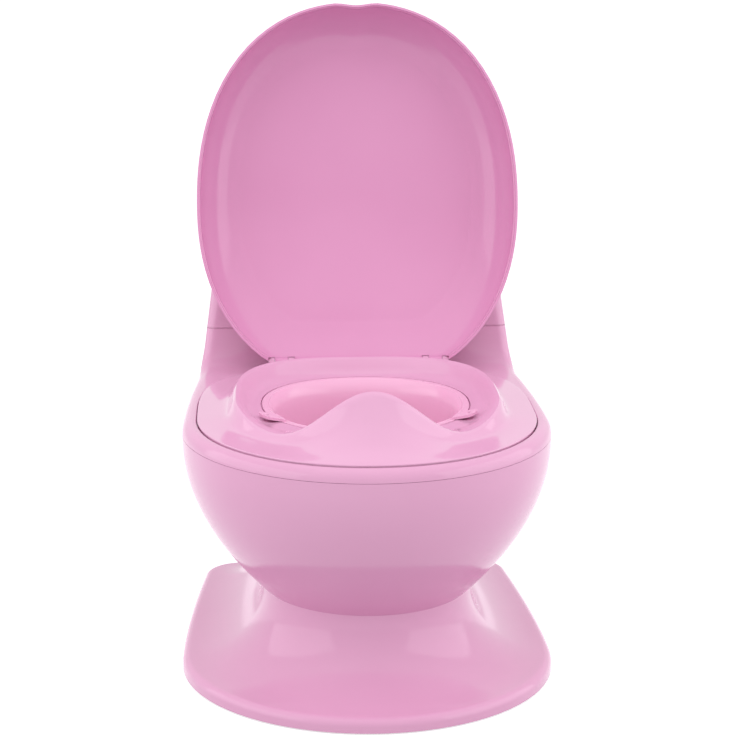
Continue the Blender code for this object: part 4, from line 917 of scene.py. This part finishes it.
def makeTankCap():
    seam = capLow.z + cap["lipDrop"] + fitGap
    shell = shellSolid("cap_moulding")
    cut(shell, slab("below_seam", -100 * spare, seam), "MANIFOLD")
    profile = [(0.0, seam), (0.0, (seam + crownZ) / 2), (0.0, crownZ)]
    for inset, rise in quarterRound(8)[1:]:
        profile.append((tank["crown"] * inset, crownZ + tank["crown"] * rise))
    inner = insideOf(profile, wall)
    inside = [tankRing(seam, wall, tank["crown"] + wall)]
    inside[0] = [Vector((p.x, p.y, seam - 2 * spare)) for p in inside[0]]
    inside += [tankRing(z, inset, tank["crown"] + wall) for inset, z in inner]
    cut(shell, loft("cap_hollow", inside, True, True), "MANIFOLD")

    slack = wall + cap["lipGap"]
    reach = slack + cap["lipWall"]
    bendLow, bendHigh = cap["lipBend"]
    rootInset, rootTop = wall - cap["lipBite"], seam + cap["lipUp"]
    lipRows = [(capLow.z, slack), (seam + bendLow, slack), (seam + bendHigh, rootInset),
               (rootTop, rootInset), (rootTop, reach), (capLow.z, reach)]
    lip = loft("cap_lip", [tankRing(z, inset) for z, inset in lipRows], wrap=True)
    cut(lip, block("lip_relief", (-cap["reliefHalf"], cornerEnd - spare, seam - 20 * spare),
                   (cap["reliefHalf"], cap["reliefBack"], seam - fitGap)))
    join(shell, settle(lip), "MANIFOLD")
    spot = nodeCentre("flush_button")
    bore = cap["buttonRadius"] + cap["buttonGap"]
    floorZ = tank["top"] - cap["collarDepth"]
    join(shell, drum("button_collar", bore + cap["collarWall"], floorZ,
                     tank["top"] - cap["collarShort"], spot, 48), "MANIFOLD")
    cut(shell, drum("button_bore", bore, floorZ + cap["collarFloor"], tank["top"] + 10 * spare,
                    spot, 48), "MANIFOLD")
    cut(shell, drum("stem_hole", cap["stemHole"], floorZ - 10 * spare, tank["top"], spot, 32), "MANIFOLD")
    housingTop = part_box("sound_housing")[1].z
    for node in moduleScrewNodes:
        addBoss(shell, node, cap["bossRadius"], (housingTop + fitGap, tank["top"] - cap["bossShort"]),
                (housingTop - 2 * spare, housingTop + cap["pilotDepth"]), "MANIFOLD")
    settle(shell)
    finish(shell, shellPink, "cap", "shell_plastic", "tank_cap")


makeTankCap()


# Seat ring with its splash guard and the ears of the hinge

hinge = {
    "y": 0.113, "z": 0.2160, "lean": math.radians(9.0), "pin": 0.0022, "bore": 0.0003,
    "knuckle": 0.0038, "inner": 0.060, "width": 0.011, "plate": 0.005, "gap": 0.0004, "sunk": 0.0012,
}
plateStarts = (hinge["inner"] - hinge["gap"] - hinge["plate"],
               hinge["inner"] + hinge["width"] + hinge["gap"])
# share of the way from the seat's edge to the crest, rise at the sides, rise under the guard
outerRows = [(0.06, 0.012, 0.03), (0.35, 0.065, 0.17), (0.64, 0.14, 0.48), (0.76, 0.24, 0.66),
             (0.86, 0.56, 0.82), (0.94, 0.89, 0.95), (1.0, 1.0, 1.0)]
# share of the way from the crest to the pot's rebate, fall at the sides, fall behind the guard
innerRows = [(0.0, 0.0, 0.0), (0.12, 0.06, 0.03), (0.30, 0.36, 0.20), (0.50, 0.74, 0.58),
             (0.76, 0.95, 0.90), (1.0, 1.0, 1.0)]


def guardShare(x, y):
    if y > seat["crestWidest"] or abs(x) > seat["guardHalf"]:
        return 0.0
    return (1 - (x / seat["guardHalf"]) ** 2) ** 3


def crestHeight(x, y):
    run = smoothStep((y - seat["crestFront"] - seat["riseStart"]) / seat["riseRun"])
    base = seat["saddle"] + (seat["crest"] - seat["saddle"]) * run
    return base + (seat["guard"] - seat["saddle"]) * guardShare(x, y)


def hingePlate(name, side, inner):
    outline = [(hinge["y"] + hinge["knuckle"], rim["top"] - hinge["sunk"])]
    roundSteps = 24
    for step in range(roundSteps + 1):
        angle = step / roundSteps * math.pi
        outline.append((hinge["y"] + hinge["knuckle"] * math.cos(angle),
                        hinge["z"] + hinge["knuckle"] * math.sin(angle)))
    outline.append((hinge["y"] - hinge["knuckle"], rim["top"] - hinge["sunk"]))
    low = side * inner if side > 0 else side * (inner + hinge["plate"])
    rings = [[Vector((x, y, z)) for y, z in outline] for x in (low, low + hinge["plate"])]
    return loft(name, rings, True, True)


def makeSeatRing():
    crest = egg((seat["crestHalf"], seat["crestFront"], seat["crestWidest"], seat["crestBack"]),
                2.0, seat["crestPower"])
    tops = [crestHeight(x, y) for x, y in crest]
    guards = [guardShare(x, y) for x, y in crest]
    lipEdge = pot["lipWidth"] + rim["seatGap"]
    rebate = grown(potOutline, lipEdge)
    shelf = grown(potOutline, lipEdge - pot["shelf"])
    shelfZ = pot["lip"] - pot["wall"] - fitGap
    lip = grown(seatOutline, seat["lip"])
    lipTop = rim["top"] + seat["lipLift"] + fitGap + seat["edge"]
    rings = [mirrored(lip, seat["low"])]
    for inset, rise in quarterRound(4):
        rings.append(mirrored(grown(lip, -seat["edge"] * inset * seat["edgeShare"]),
                              lipTop - seat["edge"] * (1 - rise)))
    for share, side, guarded in smoothRows(outerRows, 4):
        heights = [lipTop + (top - lipTop) * (side + (guarded - side) * guard)
                   for top, guard in zip(tops, guards)]
        rings.append(mirroredAt(mixed(lip, crest, share), heights))
    for share, side, guarded in smoothRows(innerRows, 4)[1:]:
        heights = [top - (top - pot["lip"]) * (side + (guarded - side) * guard)
                   for top, guard in zip(tops, guards)]
        rings.append(mirroredAt(mixed(crest, rebate, share), heights))
    rings += [mirrored(rebate, shelfZ), mirrored(shelf, shelfZ)]
    ring = loft("seat_moulding", rings)
    addWall(ring, seat["wall"], False)
    under, over = seat["low"] - spare, rim["top"] + seat["lipLift"]
    step = [mirrored(grown(seatOutline, grow), z) for grow, z in (
        (seat["lipIn"], under), (4 * spare, under), (4 * spare, over), (seat["lipIn"], over))]
    cut(ring, loft("shadow_step", step, wrap=True))      # the lip hangs over the rim
    for side in (-1, 1):
        for place, inner in enumerate(plateStarts):
            join(ring, hingePlate("ear_%d_%d" % (side, place), side, inner))
    for side in (-1, 1):
        middle = side * (hinge["inner"] + hinge["width"] / 2)
        cut(ring, drum("bore_%d" % side, hinge["pin"] + hinge["bore"],
                       middle - 20 * spare, middle + 20 * spare, (hinge["y"], hinge["z"]), 24, "X"))
    settle(ring)
    weld(ring)
    finish(ring, seatPink, "seat", "seat_plastic", "seat_ring")


makeSeatRing()


# Lid: a deep dish on two knuckles, built closed and then opened

lid = {
    "halfWidth": 0.1355, "tip": -0.1895, "widest": -0.020, "middle": -0.030,
    "frontPower": 2.23, "backPower": 2.2, "eggBack": 0.134, "back": 0.115, "corner": 0.005,
    "depth": 0.0520, "edgeDrop": 0.0085, "rearLift": 0.0022,
    "notchDepth": 0.0025, "notchHalf": 0.020, "reach": 0.130, "shallowing": 0.68, "wall": 0.0026,
    "rebateWall": 0.0017, "rebateDepth": 0.0055, "rebateDraft": 0.0001, "rebateRise": 0.7,
    "shallowPower": 1.6, "liftPower": 1.5, "floorPower": 3,
    "floorShares": (0.93, 0.85, 0.75, 0.62, 0.48, 0.34, 0.20, 0.08),       # rings in to the middle
}
# distance in from the edge, share of the depth
lidRows = [(0.0, 0.0), (0.0004, 0.20), (0.0028, 0.41), (0.0080, 0.62), (0.0152, 0.78),
           (0.0245, 0.89), (0.0370, 0.95)]


def lidDepthShare(y):
    short = min(1.0, max(0.0, 1 - (hinge["y"] - y) / lid["reach"]))
    return 1 - lid["shallowing"] * short ** lid["shallowPower"]


def lidHeight(y, height):
    towardsBack = max(0.0, (y - lid["widest"]) / (lid["back"] - lid["widest"]))
    lift = lid["rearLift"] * towardsBack ** lid["liftPower"]
    return hinge["z"] - lid["edgeDrop"] + lift + height * lidDepthShare(y)


def lidOutline():                      # an egg, cut straight across behind the hinge
    outline = egg((lid["halfWidth"], lid["tip"], lid["widest"], lid["eggBack"]),
                  lid["frontPower"], lid["backPower"])
    turn = lid["back"] - lid["corner"]
    notched = []
    for x, y in outline:
        if y > turn:
            y = turn + lid["corner"] * math.tanh((y - turn) / lid["corner"])
        if y < lid["widest"] and abs(x) < lid["notchHalf"]:
            y += lid["notchDepth"] * (math.cos(math.pi * x / lid["notchHalf"]) + 1) / 2
        notched.append((x, y))
    return notched


def shrunk(half, by):                  # drawn in towards the lid's middle, so a sharp corner never folds
    front, back = lid["middle"] - lid["tip"], lid["back"] - lid["middle"]
    return [(x * (1 - by / lid["halfWidth"]),
             lid["middle"] + (y - lid["middle"]) * (1 - by / (front if y < lid["middle"] else back)))
            for x, y in half]


def lidRings(outline, rows, drop):
    rings = []
    for inset, height in rows:
        half = shrunk(outline, inset)
        rings.append(mirroredAt(half, [lidHeight(y, height) for x, y in half]))
    last = shrunk(outline, rows[-1][0])
    lastHeight = rows[-1][1] + drop
    for share in lid["floorShares"]:
        height = lid["depth"] - (lid["depth"] - lastHeight) * share ** lid["floorPower"]
        half = towards(last, lid["middle"], share)
        rings.append(mirroredAt(half, [lidHeight(y, height) - drop for x, y in half]))
    return rings


def fanEnd(piece):                     # closes the small hole left in the middle of a dish
    body = bmesh.new()
    body.from_mesh(piece.data)
    openEdges = [edge for edge in body.edges if edge.is_boundary]
    for face in bmesh.ops.holes_fill(body, edges=openEdges, sides=0)["faces"]:
        bmesh.ops.poke(body, faces=[face])
    body.to_mesh(piece.data)
    body.free()


def makeLid():
    outline = lidOutline()
    outer = [(inset, share * lid["depth"]) for inset, share in smoothRows(lidRows, 4)]
    step = lid["wall"] - lid["rebateWall"]           # a thinner lip, then a small step to the full wall
    inner = [(lid["rebateWall"], 0.0), (lid["rebateWall"] + lid["rebateDraft"], lid["rebateDepth"]),
             (lid["wall"] + lid["rebateDraft"], lid["rebateDepth"] + lid["rebateRise"] * step)]
    inner += [row for row in insideOf(outer, lid["wall"]) if row[1] > lid["rebateDepth"] + 2 * step]
    rings = list(reversed(lidRings(outline, inner, lid["wall"])))
    rings += lidRings(outline, outer, 0.0)
    dish = loft("lid_moulding", rings)
    fanEnd(dish)
    for side in (-1, 1):
        for place, inner in enumerate(plateStarts):
            ends = sorted((side * (inner - hinge["gap"]), side * (inner + hinge["plate"] + hinge["gap"])))
            cut(dish, block("slot_%d_%d" % (side, place),
                            (ends[0], hinge["y"] - hinge["knuckle"] - hinge["gap"], hinge["z"] - 20 * spare),
                            (ends[1], hinge["y"] + 12 * spare, hinge["z"] + 20 * spare)), "MANIFOLD")
    for side in (-1, 1):
        start = side * hinge["inner"]
        ends = sorted((start, start + side * hinge["width"]))
        join(dish, drum("knuckle_%d" % side, hinge["knuckle"], *ends,
                        (hinge["y"], hinge["z"]), 40, "X"), "MANIFOLD")
        ends = sorted((start - side * 2 * spare, start + side * (hinge["width"] + 2 * spare)))
        cut(dish, drum("lid_bore_%d" % side, hinge["pin"] + hinge["bore"], *ends,
                       (hinge["y"], hinge["z"]), 24, "X"), "MANIFOLD")
    settle(dish)
    axis = Vector((0.0, hinge["y"], hinge["z"]))
    opened = Matrix.Rotation(-math.pi / 2 - hinge["lean"], 4, "X")
    dish.data.transform(Matrix.Translation(axis) @ opened @ Matrix.Translation(-axis))
    finish(dish, lidPinkPaintedShade, "lid", "lid_plastic", "lid")


makeLid()


# Pot

# how far inside the mouth, share of the depth
potRows = [(0.0280, 0.0), (0.0195, 0.015), (0.0145, 0.07), (0.0115, 0.18), (0.0085, 0.45),
           (0.0052, 0.86), (0.0040, 0.92), (0.0020, 0.963), (-0.0008, 1.0)]


def potEar(side):
    at = min(range(stations), key=lambda i: abs(potOutline[i][1] - pot["earY"]))
    station = Vector(potOutline[at])
    outward = Vector((math.cos(pot["earHeading"]), -math.sin(pot["earHeading"])))
    along = Vector((math.sin(pot["earHeading"]), math.cos(pot["earHeading"])))
    root, end = station + outward * pot["earRoot"], station + outward * pot["earLength"]
    halfWidth = pot["earWidth"] / 2
    outline = [root - along * halfWidth]
    endSteps = 24
    for step in range(endSteps + 1):
        angle = (step / endSteps - 0.5) * math.pi
        outline.append(end + outward * (halfWidth * pot["earEnd"] * math.cos(angle))
                       + along * (halfWidth * math.sin(angle)))
    outline.append(root + along * halfWidth)
    low = pot["lip"] - pot["earSunk"]
    rings = []
    for lift in (0.0, pot["earThickness"]):
        ring = [Vector((side * p.x, p.y, low + lift + pot["earSlope"] * (p - root).dot(outward)))
                for p in outline]
        rings.append(ring if side > 0 else list(reversed(ring)))
    centre = station + outward * (pot["earLength"] - pot["earHoleIn"])
    hole = drum("ear_hole_%d" % side, pot["earHole"], low - 2 * spare, low + 10 * spare,
                (side * centre.x, centre.y), 24)
    return loft("ear_%d" % side, rings, True, True), hole


def makePot():
    depth = pot["lip"] - pot["floor"]
    rings = []
    for inset, share in smoothRows(potRows, 5):
        rings.append(mirrored(grown(potOutline, -inset), pot["floor"] + depth * share))
    for rise, out in quarterRound(6)[1:]:
        rings.append(mirrored(grown(potOutline, pot["lipStart"] + pot["lipRoll"] * out),
                              pot["lip"] + pot["lipRise"] * rise - pot["lipRise"]))
    rings.append(mirrored(grown(potOutline, pot["lipWidth"]), pot["lip"]))
    for ring in rings:
        ring.reverse()
    bowl = loft("pot_moulding", rings, True)
    addWall(bowl, pot["wall"])
    for side in (-1, 1):
        ear, hole = potEar(side)
        join(bowl, ear)
        cut(bowl, hole)
    settle(bowl)
    finish(bowl, potPinkPaintedLight, "pot", "pot_plastic", "pot")


makePot()


# Small parts grown on points by Geometry Nodes: screws, rubber feet and the button's spring

def newTree(name, inputs):             # the name of each input, and its value
    tree = bpy.data.node_groups.new(name, "GeometryNodeTree")
    tree.interface.new_socket("Geometry", in_out="INPUT", socket_type="NodeSocketGeometry")
    for label, value in inputs.items():
        socket = tree.interface.new_socket(label, in_out="INPUT", socket_type="NodeSocketFloat")
        socket.default_value = value
    tree.interface.new_socket("Geometry", in_out="OUTPUT", socket_type="NodeSocketGeometry")
    return tree, addNode(tree, "NodeGroupInput"), addNode(tree, "NodeGroupOutput")


def fromAxis(tree):                    # a point's x, y and z, then the way out to it and how far
    place = addNode(tree, "GeometryNodeInputPosition")
    parts = addNode(tree, "ShaderNodeSeparateXYZ", {0: place}).outputs
    flat = addNode(tree, "ShaderNodeCombineXYZ", {0: parts[0], 1: parts[1]})
    reach = addNode(tree, "ShaderNodeVectorMath", {0: flat}, operation="LENGTH")
    return parts, flat, reach.outputs["Value"]


def onPoints(tree, given, shape, material, out):
    copies = addNode(tree, "GeometryNodeInstanceOnPoints", {
        "Points": given.outputs["Geometry"], "Instance": shape})
    real = addNode(tree, "GeometryNodeRealizeInstances", {0: copies})
    coated = addNode(tree, "GeometryNodeSetMaterial", {"Material": material, 0: real})
    tree.links.new(coated.outputs[0], out.inputs["Geometry"])


def growOnPoints(name, places, tree, values):
    piece = meshPiece(name, places, [])
    step = piece.modifiers.new(tree.name, "NODES")
    step.node_group = tree
    for socket in tree.interface.items_tree:
        if socket.item_type == "SOCKET" and socket.in_out == "INPUT" and socket.name in values:
            step[socket.identifier] = values[socket.name]
    return settle(piece)


screw = {
    "headHeight": 0.0022, "shank": 0.0015,
    "thread": 0.0010,                  # pitch
    "ridge": 0.00016,                  # half the thread's depth
    "crown": 0.0005, "crownPower": 4.0,          # how far the pan head's rim sits above its middle
    "crownBelow": -0.0001,             # points of the head below this height take that crown
    "slotWidth": 0.0009, "slotLength": 0.0040, "slotDepth": 0.0012,
    "headSides": 32, "sides": 20, "rows": 64,      # rows along the shank, enough to draw the thread
}
screwBodies = {
    "shell_screws": ("base", lugNodes),
    "module_screws": ("cap", moduleScrewNodes),
    "door_screw": ("battery_door", ["battery_door_screw"]),
}


def screwTree():                       # a cross-slotted pan head below a threaded shank
    tree, given, out = newTree("cross_slotted_screw", {
        "Head Radius": 0.0035, "Head Height": screw["headHeight"], "Shank Radius": screw["shank"],
        "Length": 0.0120, "Thread Pitch": screw["thread"], "Slot Width": screw["slotWidth"],
        "Slot Length": screw["slotLength"], "Slot Depth": screw["slotDepth"]})
    value = given.outputs
    head = addNode(tree, "GeometryNodeMeshCylinder", {
        "Vertices": screw["headSides"], "Side Segments": 2, "Fill Segments": 5,
        "Radius": value["Head Radius"], "Depth": value["Head Height"]}, fill_type="NGON")
    parts, flat, reach = fromAxis(tree)
    outwards = addNode(tree, "ShaderNodeMath", {0: reach, 1: value["Head Radius"]}, operation="DIVIDE")
    share = addNode(tree, "ShaderNodeMath", {0: outwards, 1: screw["crownPower"]}, operation="POWER")
    crown = addNode(tree, "ShaderNodeMath", {0: share, 1: screw["crown"]}, operation="MULTIPLY")
    rise = addNode(tree, "ShaderNodeCombineXYZ", {2: crown})
    low = addNode(tree, "ShaderNodeMath", {0: parts[2], 1: screw["crownBelow"]}, operation="LESS_THAN")
    domed = addNode(tree, "GeometryNodeSetPosition", {
        "Geometry": head.outputs["Mesh"], "Selection": low, "Offset": rise})
    halfHead = addNode(tree, "ShaderNodeMath", {0: value["Head Height"], 1: -0.5}, operation="MULTIPLY")
    drop = addNode(tree, "ShaderNodeCombineXYZ", {2: halfHead})
    seated = addNode(tree, "GeometryNodeTransform", {"Geometry": domed, "Translation": drop})
    slots = addNode(tree, "GeometryNodeJoinGeometry")
    depth = addNode(tree, "ShaderNodeMath", {0: value["Slot Depth"], 1: 2.0}, operation="MULTIPLY")
    under = addNode(tree, "ShaderNodeMath", {0: value["Head Height"], 1: -1.0}, operation="MULTIPLY")
    driverEnd = addNode(tree, "ShaderNodeCombineXYZ", {2: under})
    for first, second in (("Slot Width", "Slot Length"), ("Slot Length", "Slot Width")):
        size = addNode(tree, "ShaderNodeCombineXYZ", {0: value[first], 1: value[second], 2: depth})
        arm = addNode(tree, "GeometryNodeMeshCube", {"Size": size})
        sunk = addNode(tree, "GeometryNodeTransform", {
            "Geometry": arm.outputs["Mesh"], "Translation": driverEnd})
        tree.links.new(sunk.outputs[0], slots.inputs[0])
    driven = addNode(tree, "GeometryNodeMeshBoolean", {
        "Self Intersection": True, "Mesh 1": seated, "Mesh 2": slots},
        operation="DIFFERENCE", solver="EXACT")
    shank = addNode(tree, "GeometryNodeMeshCylinder", {
        "Vertices": screw["sides"], "Side Segments": screw["rows"], "Radius": value["Shank Radius"],
        "Depth": value["Length"]}, fill_type="NGON")
    angle = addNode(tree, "ShaderNodeMath", {0: parts[1], 1: parts[0]}, operation="ARCTAN2")
    turns = addNode(tree, "ShaderNodeMath", {0: angle, 1: 2 * math.pi}, operation="DIVIDE")
    climb = addNode(tree, "ShaderNodeMath", {0: parts[2], 1: value["Thread Pitch"]}, operation="DIVIDE")
    helix = addNode(tree, "ShaderNodeMath", {0: climb, 1: turns}, operation="SUBTRACT")
    wave = addNode(tree, "ShaderNodeMath", {0: helix, 1: 0.5}, operation="PINGPONG")
    radial = addNode(tree, "ShaderNodeVectorMath", {0: flat}, operation="NORMALIZE")
    bite = addNode(tree, "ShaderNodeMath", {0: wave, 1: -4 * screw["ridge"]}, operation="MULTIPLY")
    groove = addNode(tree, "ShaderNodeVectorMath", {0: radial, "Scale": bite}, operation="SCALE")
    threaded = addNode(tree, "GeometryNodeSetPosition", {
        "Geometry": shank.outputs["Mesh"], "Offset": groove})
    halfLength = addNode(tree, "ShaderNodeMath", {0: value["Length"], 1: 0.5}, operation="MULTIPLY")
    lift = addNode(tree, "ShaderNodeCombineXYZ", {2: halfLength})
    raised = addNode(tree, "GeometryNodeTransform", {"Geometry": threaded, "Translation": lift})
    whole = addNode(tree, "GeometryNodeMeshBoolean", {
        "Mesh 2": driven.outputs["Mesh"]}, operation="UNION", solver="EXACT")
    tree.links.new(raised.outputs[0], whole.inputs["Mesh 2"])
    onPoints(tree, given, whole.outputs["Mesh"], finishes["zinc_plated_steel"], out)
    return tree


def makeScrews():
    tree = screwTree()
    for name, (body, nodes) in screwBodies.items():
        places = []
        for node in nodes:
            low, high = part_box(node)
            places.append(((low.x + high.x) / 2, (low.y + high.y) / 2, low.z + screw["headHeight"]))
        size = high - low
        piece = growOnPoints(name, places, tree, {
            "Head Radius": size.x / 2, "Length": size.z - screw["headHeight"]})
        finish(piece, finishes["zinc_plated_steel"], body, "steel", *nodes, weighted=False)


rubberFoot = {
    "pitch": 0.0022, "groove": 0.0006, "rim": 0.0009, "sides": 48, "rings": 40,
    "underside": -0.49,                # share of the height: points below it are on the underside
}
rubberFootNodes = ["foot_front_left", "foot_front_right", "foot_rear_left", "foot_rear_right"]


def rubberFootTree():                  # a pad with ring ribs on the side that grips the floor
    tree, given, out = newTree("ribbed_rubber_foot", {
        "Radius": 0.011, "Height": 0.004, "Rib Pitch": rubberFoot["pitch"],
        "Groove Depth": rubberFoot["groove"], "Rim Width": rubberFoot["rim"]})
    value = given.outputs
    pad = addNode(tree, "GeometryNodeMeshCylinder", {
        "Vertices": rubberFoot["sides"], "Side Segments": 4, "Fill Segments": rubberFoot["rings"],
        "Radius": value["Radius"], "Depth": value["Height"]}, fill_type="NGON")
    parts, _, reach = fromAxis(tree)
    pitches = addNode(tree, "ShaderNodeMath", {0: reach, 1: value["Rib Pitch"]}, operation="DIVIDE")
    turn = addNode(tree, "ShaderNodeMath", {0: pitches, 1: 2 * math.pi}, operation="MULTIPLY")
    ring = addNode(tree, "ShaderNodeMath", {0: turn}, operation="COSINE")
    share = addNode(tree, "ShaderNodeMath", {0: ring, 1: -0.5, 2: 0.5}, operation="MULTIPLY_ADD")
    depth = addNode(tree, "ShaderNodeMath", {0: share, 1: value["Groove Depth"]}, operation="MULTIPLY")
    edge = addNode(tree, "ShaderNodeMath", {
        0: value["Radius"], 1: value["Rim Width"]}, operation="SUBTRACT")
    beyond = addNode(tree, "ShaderNodeMath", {0: reach, 1: edge}, operation="SUBTRACT")
    past = addNode(tree, "ShaderNodeMath", {0: beyond, 1: 0.0}, operation="MAXIMUM")
    squared = addNode(tree, "ShaderNodeMath", {0: past, 1: past}, operation="MULTIPLY")
    softened = addNode(tree, "ShaderNodeMath", {0: squared, 1: value["Rim Width"]}, operation="DIVIDE")
    inside = addNode(tree, "ShaderNodeMath", {0: reach, 1: edge}, operation="LESS_THAN")
    ribs = addNode(tree, "ShaderNodeMath", {0: depth, 1: inside, 2: softened}, operation="MULTIPLY_ADD")
    rise = addNode(tree, "ShaderNodeCombineXYZ", {2: ribs})
    underside = addNode(tree, "ShaderNodeMath", {
        0: value["Height"], 1: rubberFoot["underside"]}, operation="MULTIPLY")
    floorSide = addNode(tree, "ShaderNodeMath", {0: parts[2], 1: underside}, operation="LESS_THAN")
    ribbed = addNode(tree, "GeometryNodeSetPosition", {
        "Geometry": pad.outputs["Mesh"], "Selection": floorSide, "Offset": rise})
    onPoints(tree, given, ribbed.outputs[0], finishes["grey_thermoplastic_rubber"], out)
    return tree


def makeRubberFeet():
    tree = rubberFootTree()
    places = []
    for node in rubberFootNodes:
        low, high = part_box(node)
        places.append(tuple((low + high) / 2))
    size = high - low
    piece = growOnPoints("ribbed_feet", places, tree, {"Radius": size.x / 2, "Height": size.z})
    finish(piece, finishes["grey_thermoplastic_rubber"], "base", "foot_rubber", *rubberFootNodes,
           weighted=False)


coilSpring = {"wire": 0.0004, "turns": 5.0, "travel": 0.0020, "stepsPerTurn": 24, "wireSides": 10}


def coilSpringTree():                  # round wire wound up a spiral
    tree, given, out = newTree("coil_spring", {
        "Coil Radius": 0.005, "Wire Radius": coilSpring["wire"],
        "Turns": coilSpring["turns"], "Height": 0.005})
    value = given.outputs
    path = addNode(tree, "GeometryNodeCurveSpiral", {
        "Resolution": coilSpring["stepsPerTurn"], "Rotations": value["Turns"],
        "Start Radius": value["Coil Radius"], "End Radius": value["Coil Radius"],
        "Height": value["Height"]})
    section = addNode(tree, "GeometryNodeCurvePrimitiveCircle", {
        "Resolution": coilSpring["wireSides"], "Radius": value["Wire Radius"]})
    coil = addNode(tree, "GeometryNodeCurveToMesh", {
        "Fill Caps": True, "Curve": path, "Profile Curve": section})
    onPoints(tree, given, coil.outputs[0], finishes["spring_steel_wire"], out)
    return tree


def makeButtonSpring():                # a wound coil that fills the spring's place in the CAD part
    low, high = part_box("button_spring")
    wire, size = coilSpring["wire"], high - low
    place = ((low.x + high.x) / 2, (low.y + high.y) / 2, low.z + wire)
    piece = growOnPoints("return_spring", [place], coilSpringTree(), {
        "Coil Radius": size.x / 2 - wire, "Height": size.z - 2 * wire})
    finish(piece, finishes["spring_steel_wire"], "cap", "spring_steel", "button_spring", weighted=False)
    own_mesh(piece)


makeScrews()
makeRubberFeet()
makeButtonSpring()


# Flush button: a plated cap with a shallow finger dish, on a stem with a clip

flushButton = {"rim": 0.0012, "land": 0.0014, "dish": 0.0007, "dishPower": 1.5, "head": 0.0100,
               "stem": 0.0028, "clip": 0.0014, "clipDrop": 0.0020, "lip": 0.0004}


def turned(name, profile, centre, sides=64):
    rings = []
    for radius, z in profile:
        rings.append([Vector((centre[0] + radius * math.cos(step / sides * 2 * math.pi),
                              centre[1] + radius * math.sin(step / sides * 2 * math.pi), z))
                      for step in range(sides)])
    return loft(name, rings, True, True)


def makeFlushButton():
    low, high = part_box("flush_button")
    radius = (high.x - low.x) / 2
    centre = ((low.x + high.x) / 2, (low.y + high.y) / 2)
    under = high.z - flushButton["head"]
    clip = tank["top"] - cap["collarDepth"] - fitGap
    dishEdge = radius - flushButton["rim"] - flushButton["land"]
    stem, lip = flushButton["stem"], flushButton["lip"]
    profile = []
    dishSteps = 12
    for step in range(1, dishSteps + 1):
        share = step / dishSteps
        profile.append((dishEdge * share,
                        high.z - flushButton["dish"] * (1 - share ** 2) ** flushButton["dishPower"]))
    profile += [(radius - flushButton["rim"] * (1 - out), high.z - flushButton["rim"] * drop)
                for drop, out in quarterRound(6)]
    profile += [(radius, under + lip), (radius - lip, under), (stem, under), (stem, clip),
                (stem + flushButton["clip"], clip), (stem, clip - flushButton["clipDrop"]),
                (stem, low.z + lip), (stem - lip, low.z)]
    piece = turned("plated_button", list(reversed(profile)), centre)
    finish(piece, finishes["chrome_plated_abs"], "button", "silver_plastic", "flush_button")


makeFlushButton()


# Finishes on the parts that keep their CAD shape

keptParts = {
    "zinc_plated_steel": ["hinge_pin_left", "hinge_pin_right", "contact_left", "contact_right"],
    "satin_white_abs": ["sound_housing", "battery_door", "switch_plunger"],
    "black_nylon": ["switch_body"],
    "green_solder_mask": ["sound_board"],
    "black_paper_cone": ["speaker"],
    "blue_cell_sleeve": ["battery_cell_1", "battery_cell_2"],
}


def coatKeptParts():
    for finishName, nodes in keptParts.items():
        for node in nodes:
            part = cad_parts[node]
            for place in range(len(part.material_slots)):
                part.material_slots[place].material = finishes[finishName]
            if not part.material_slots:
                part.data.materials.append(finishes[finishName])


coatKeptParts()
print("small parts are made and coated")
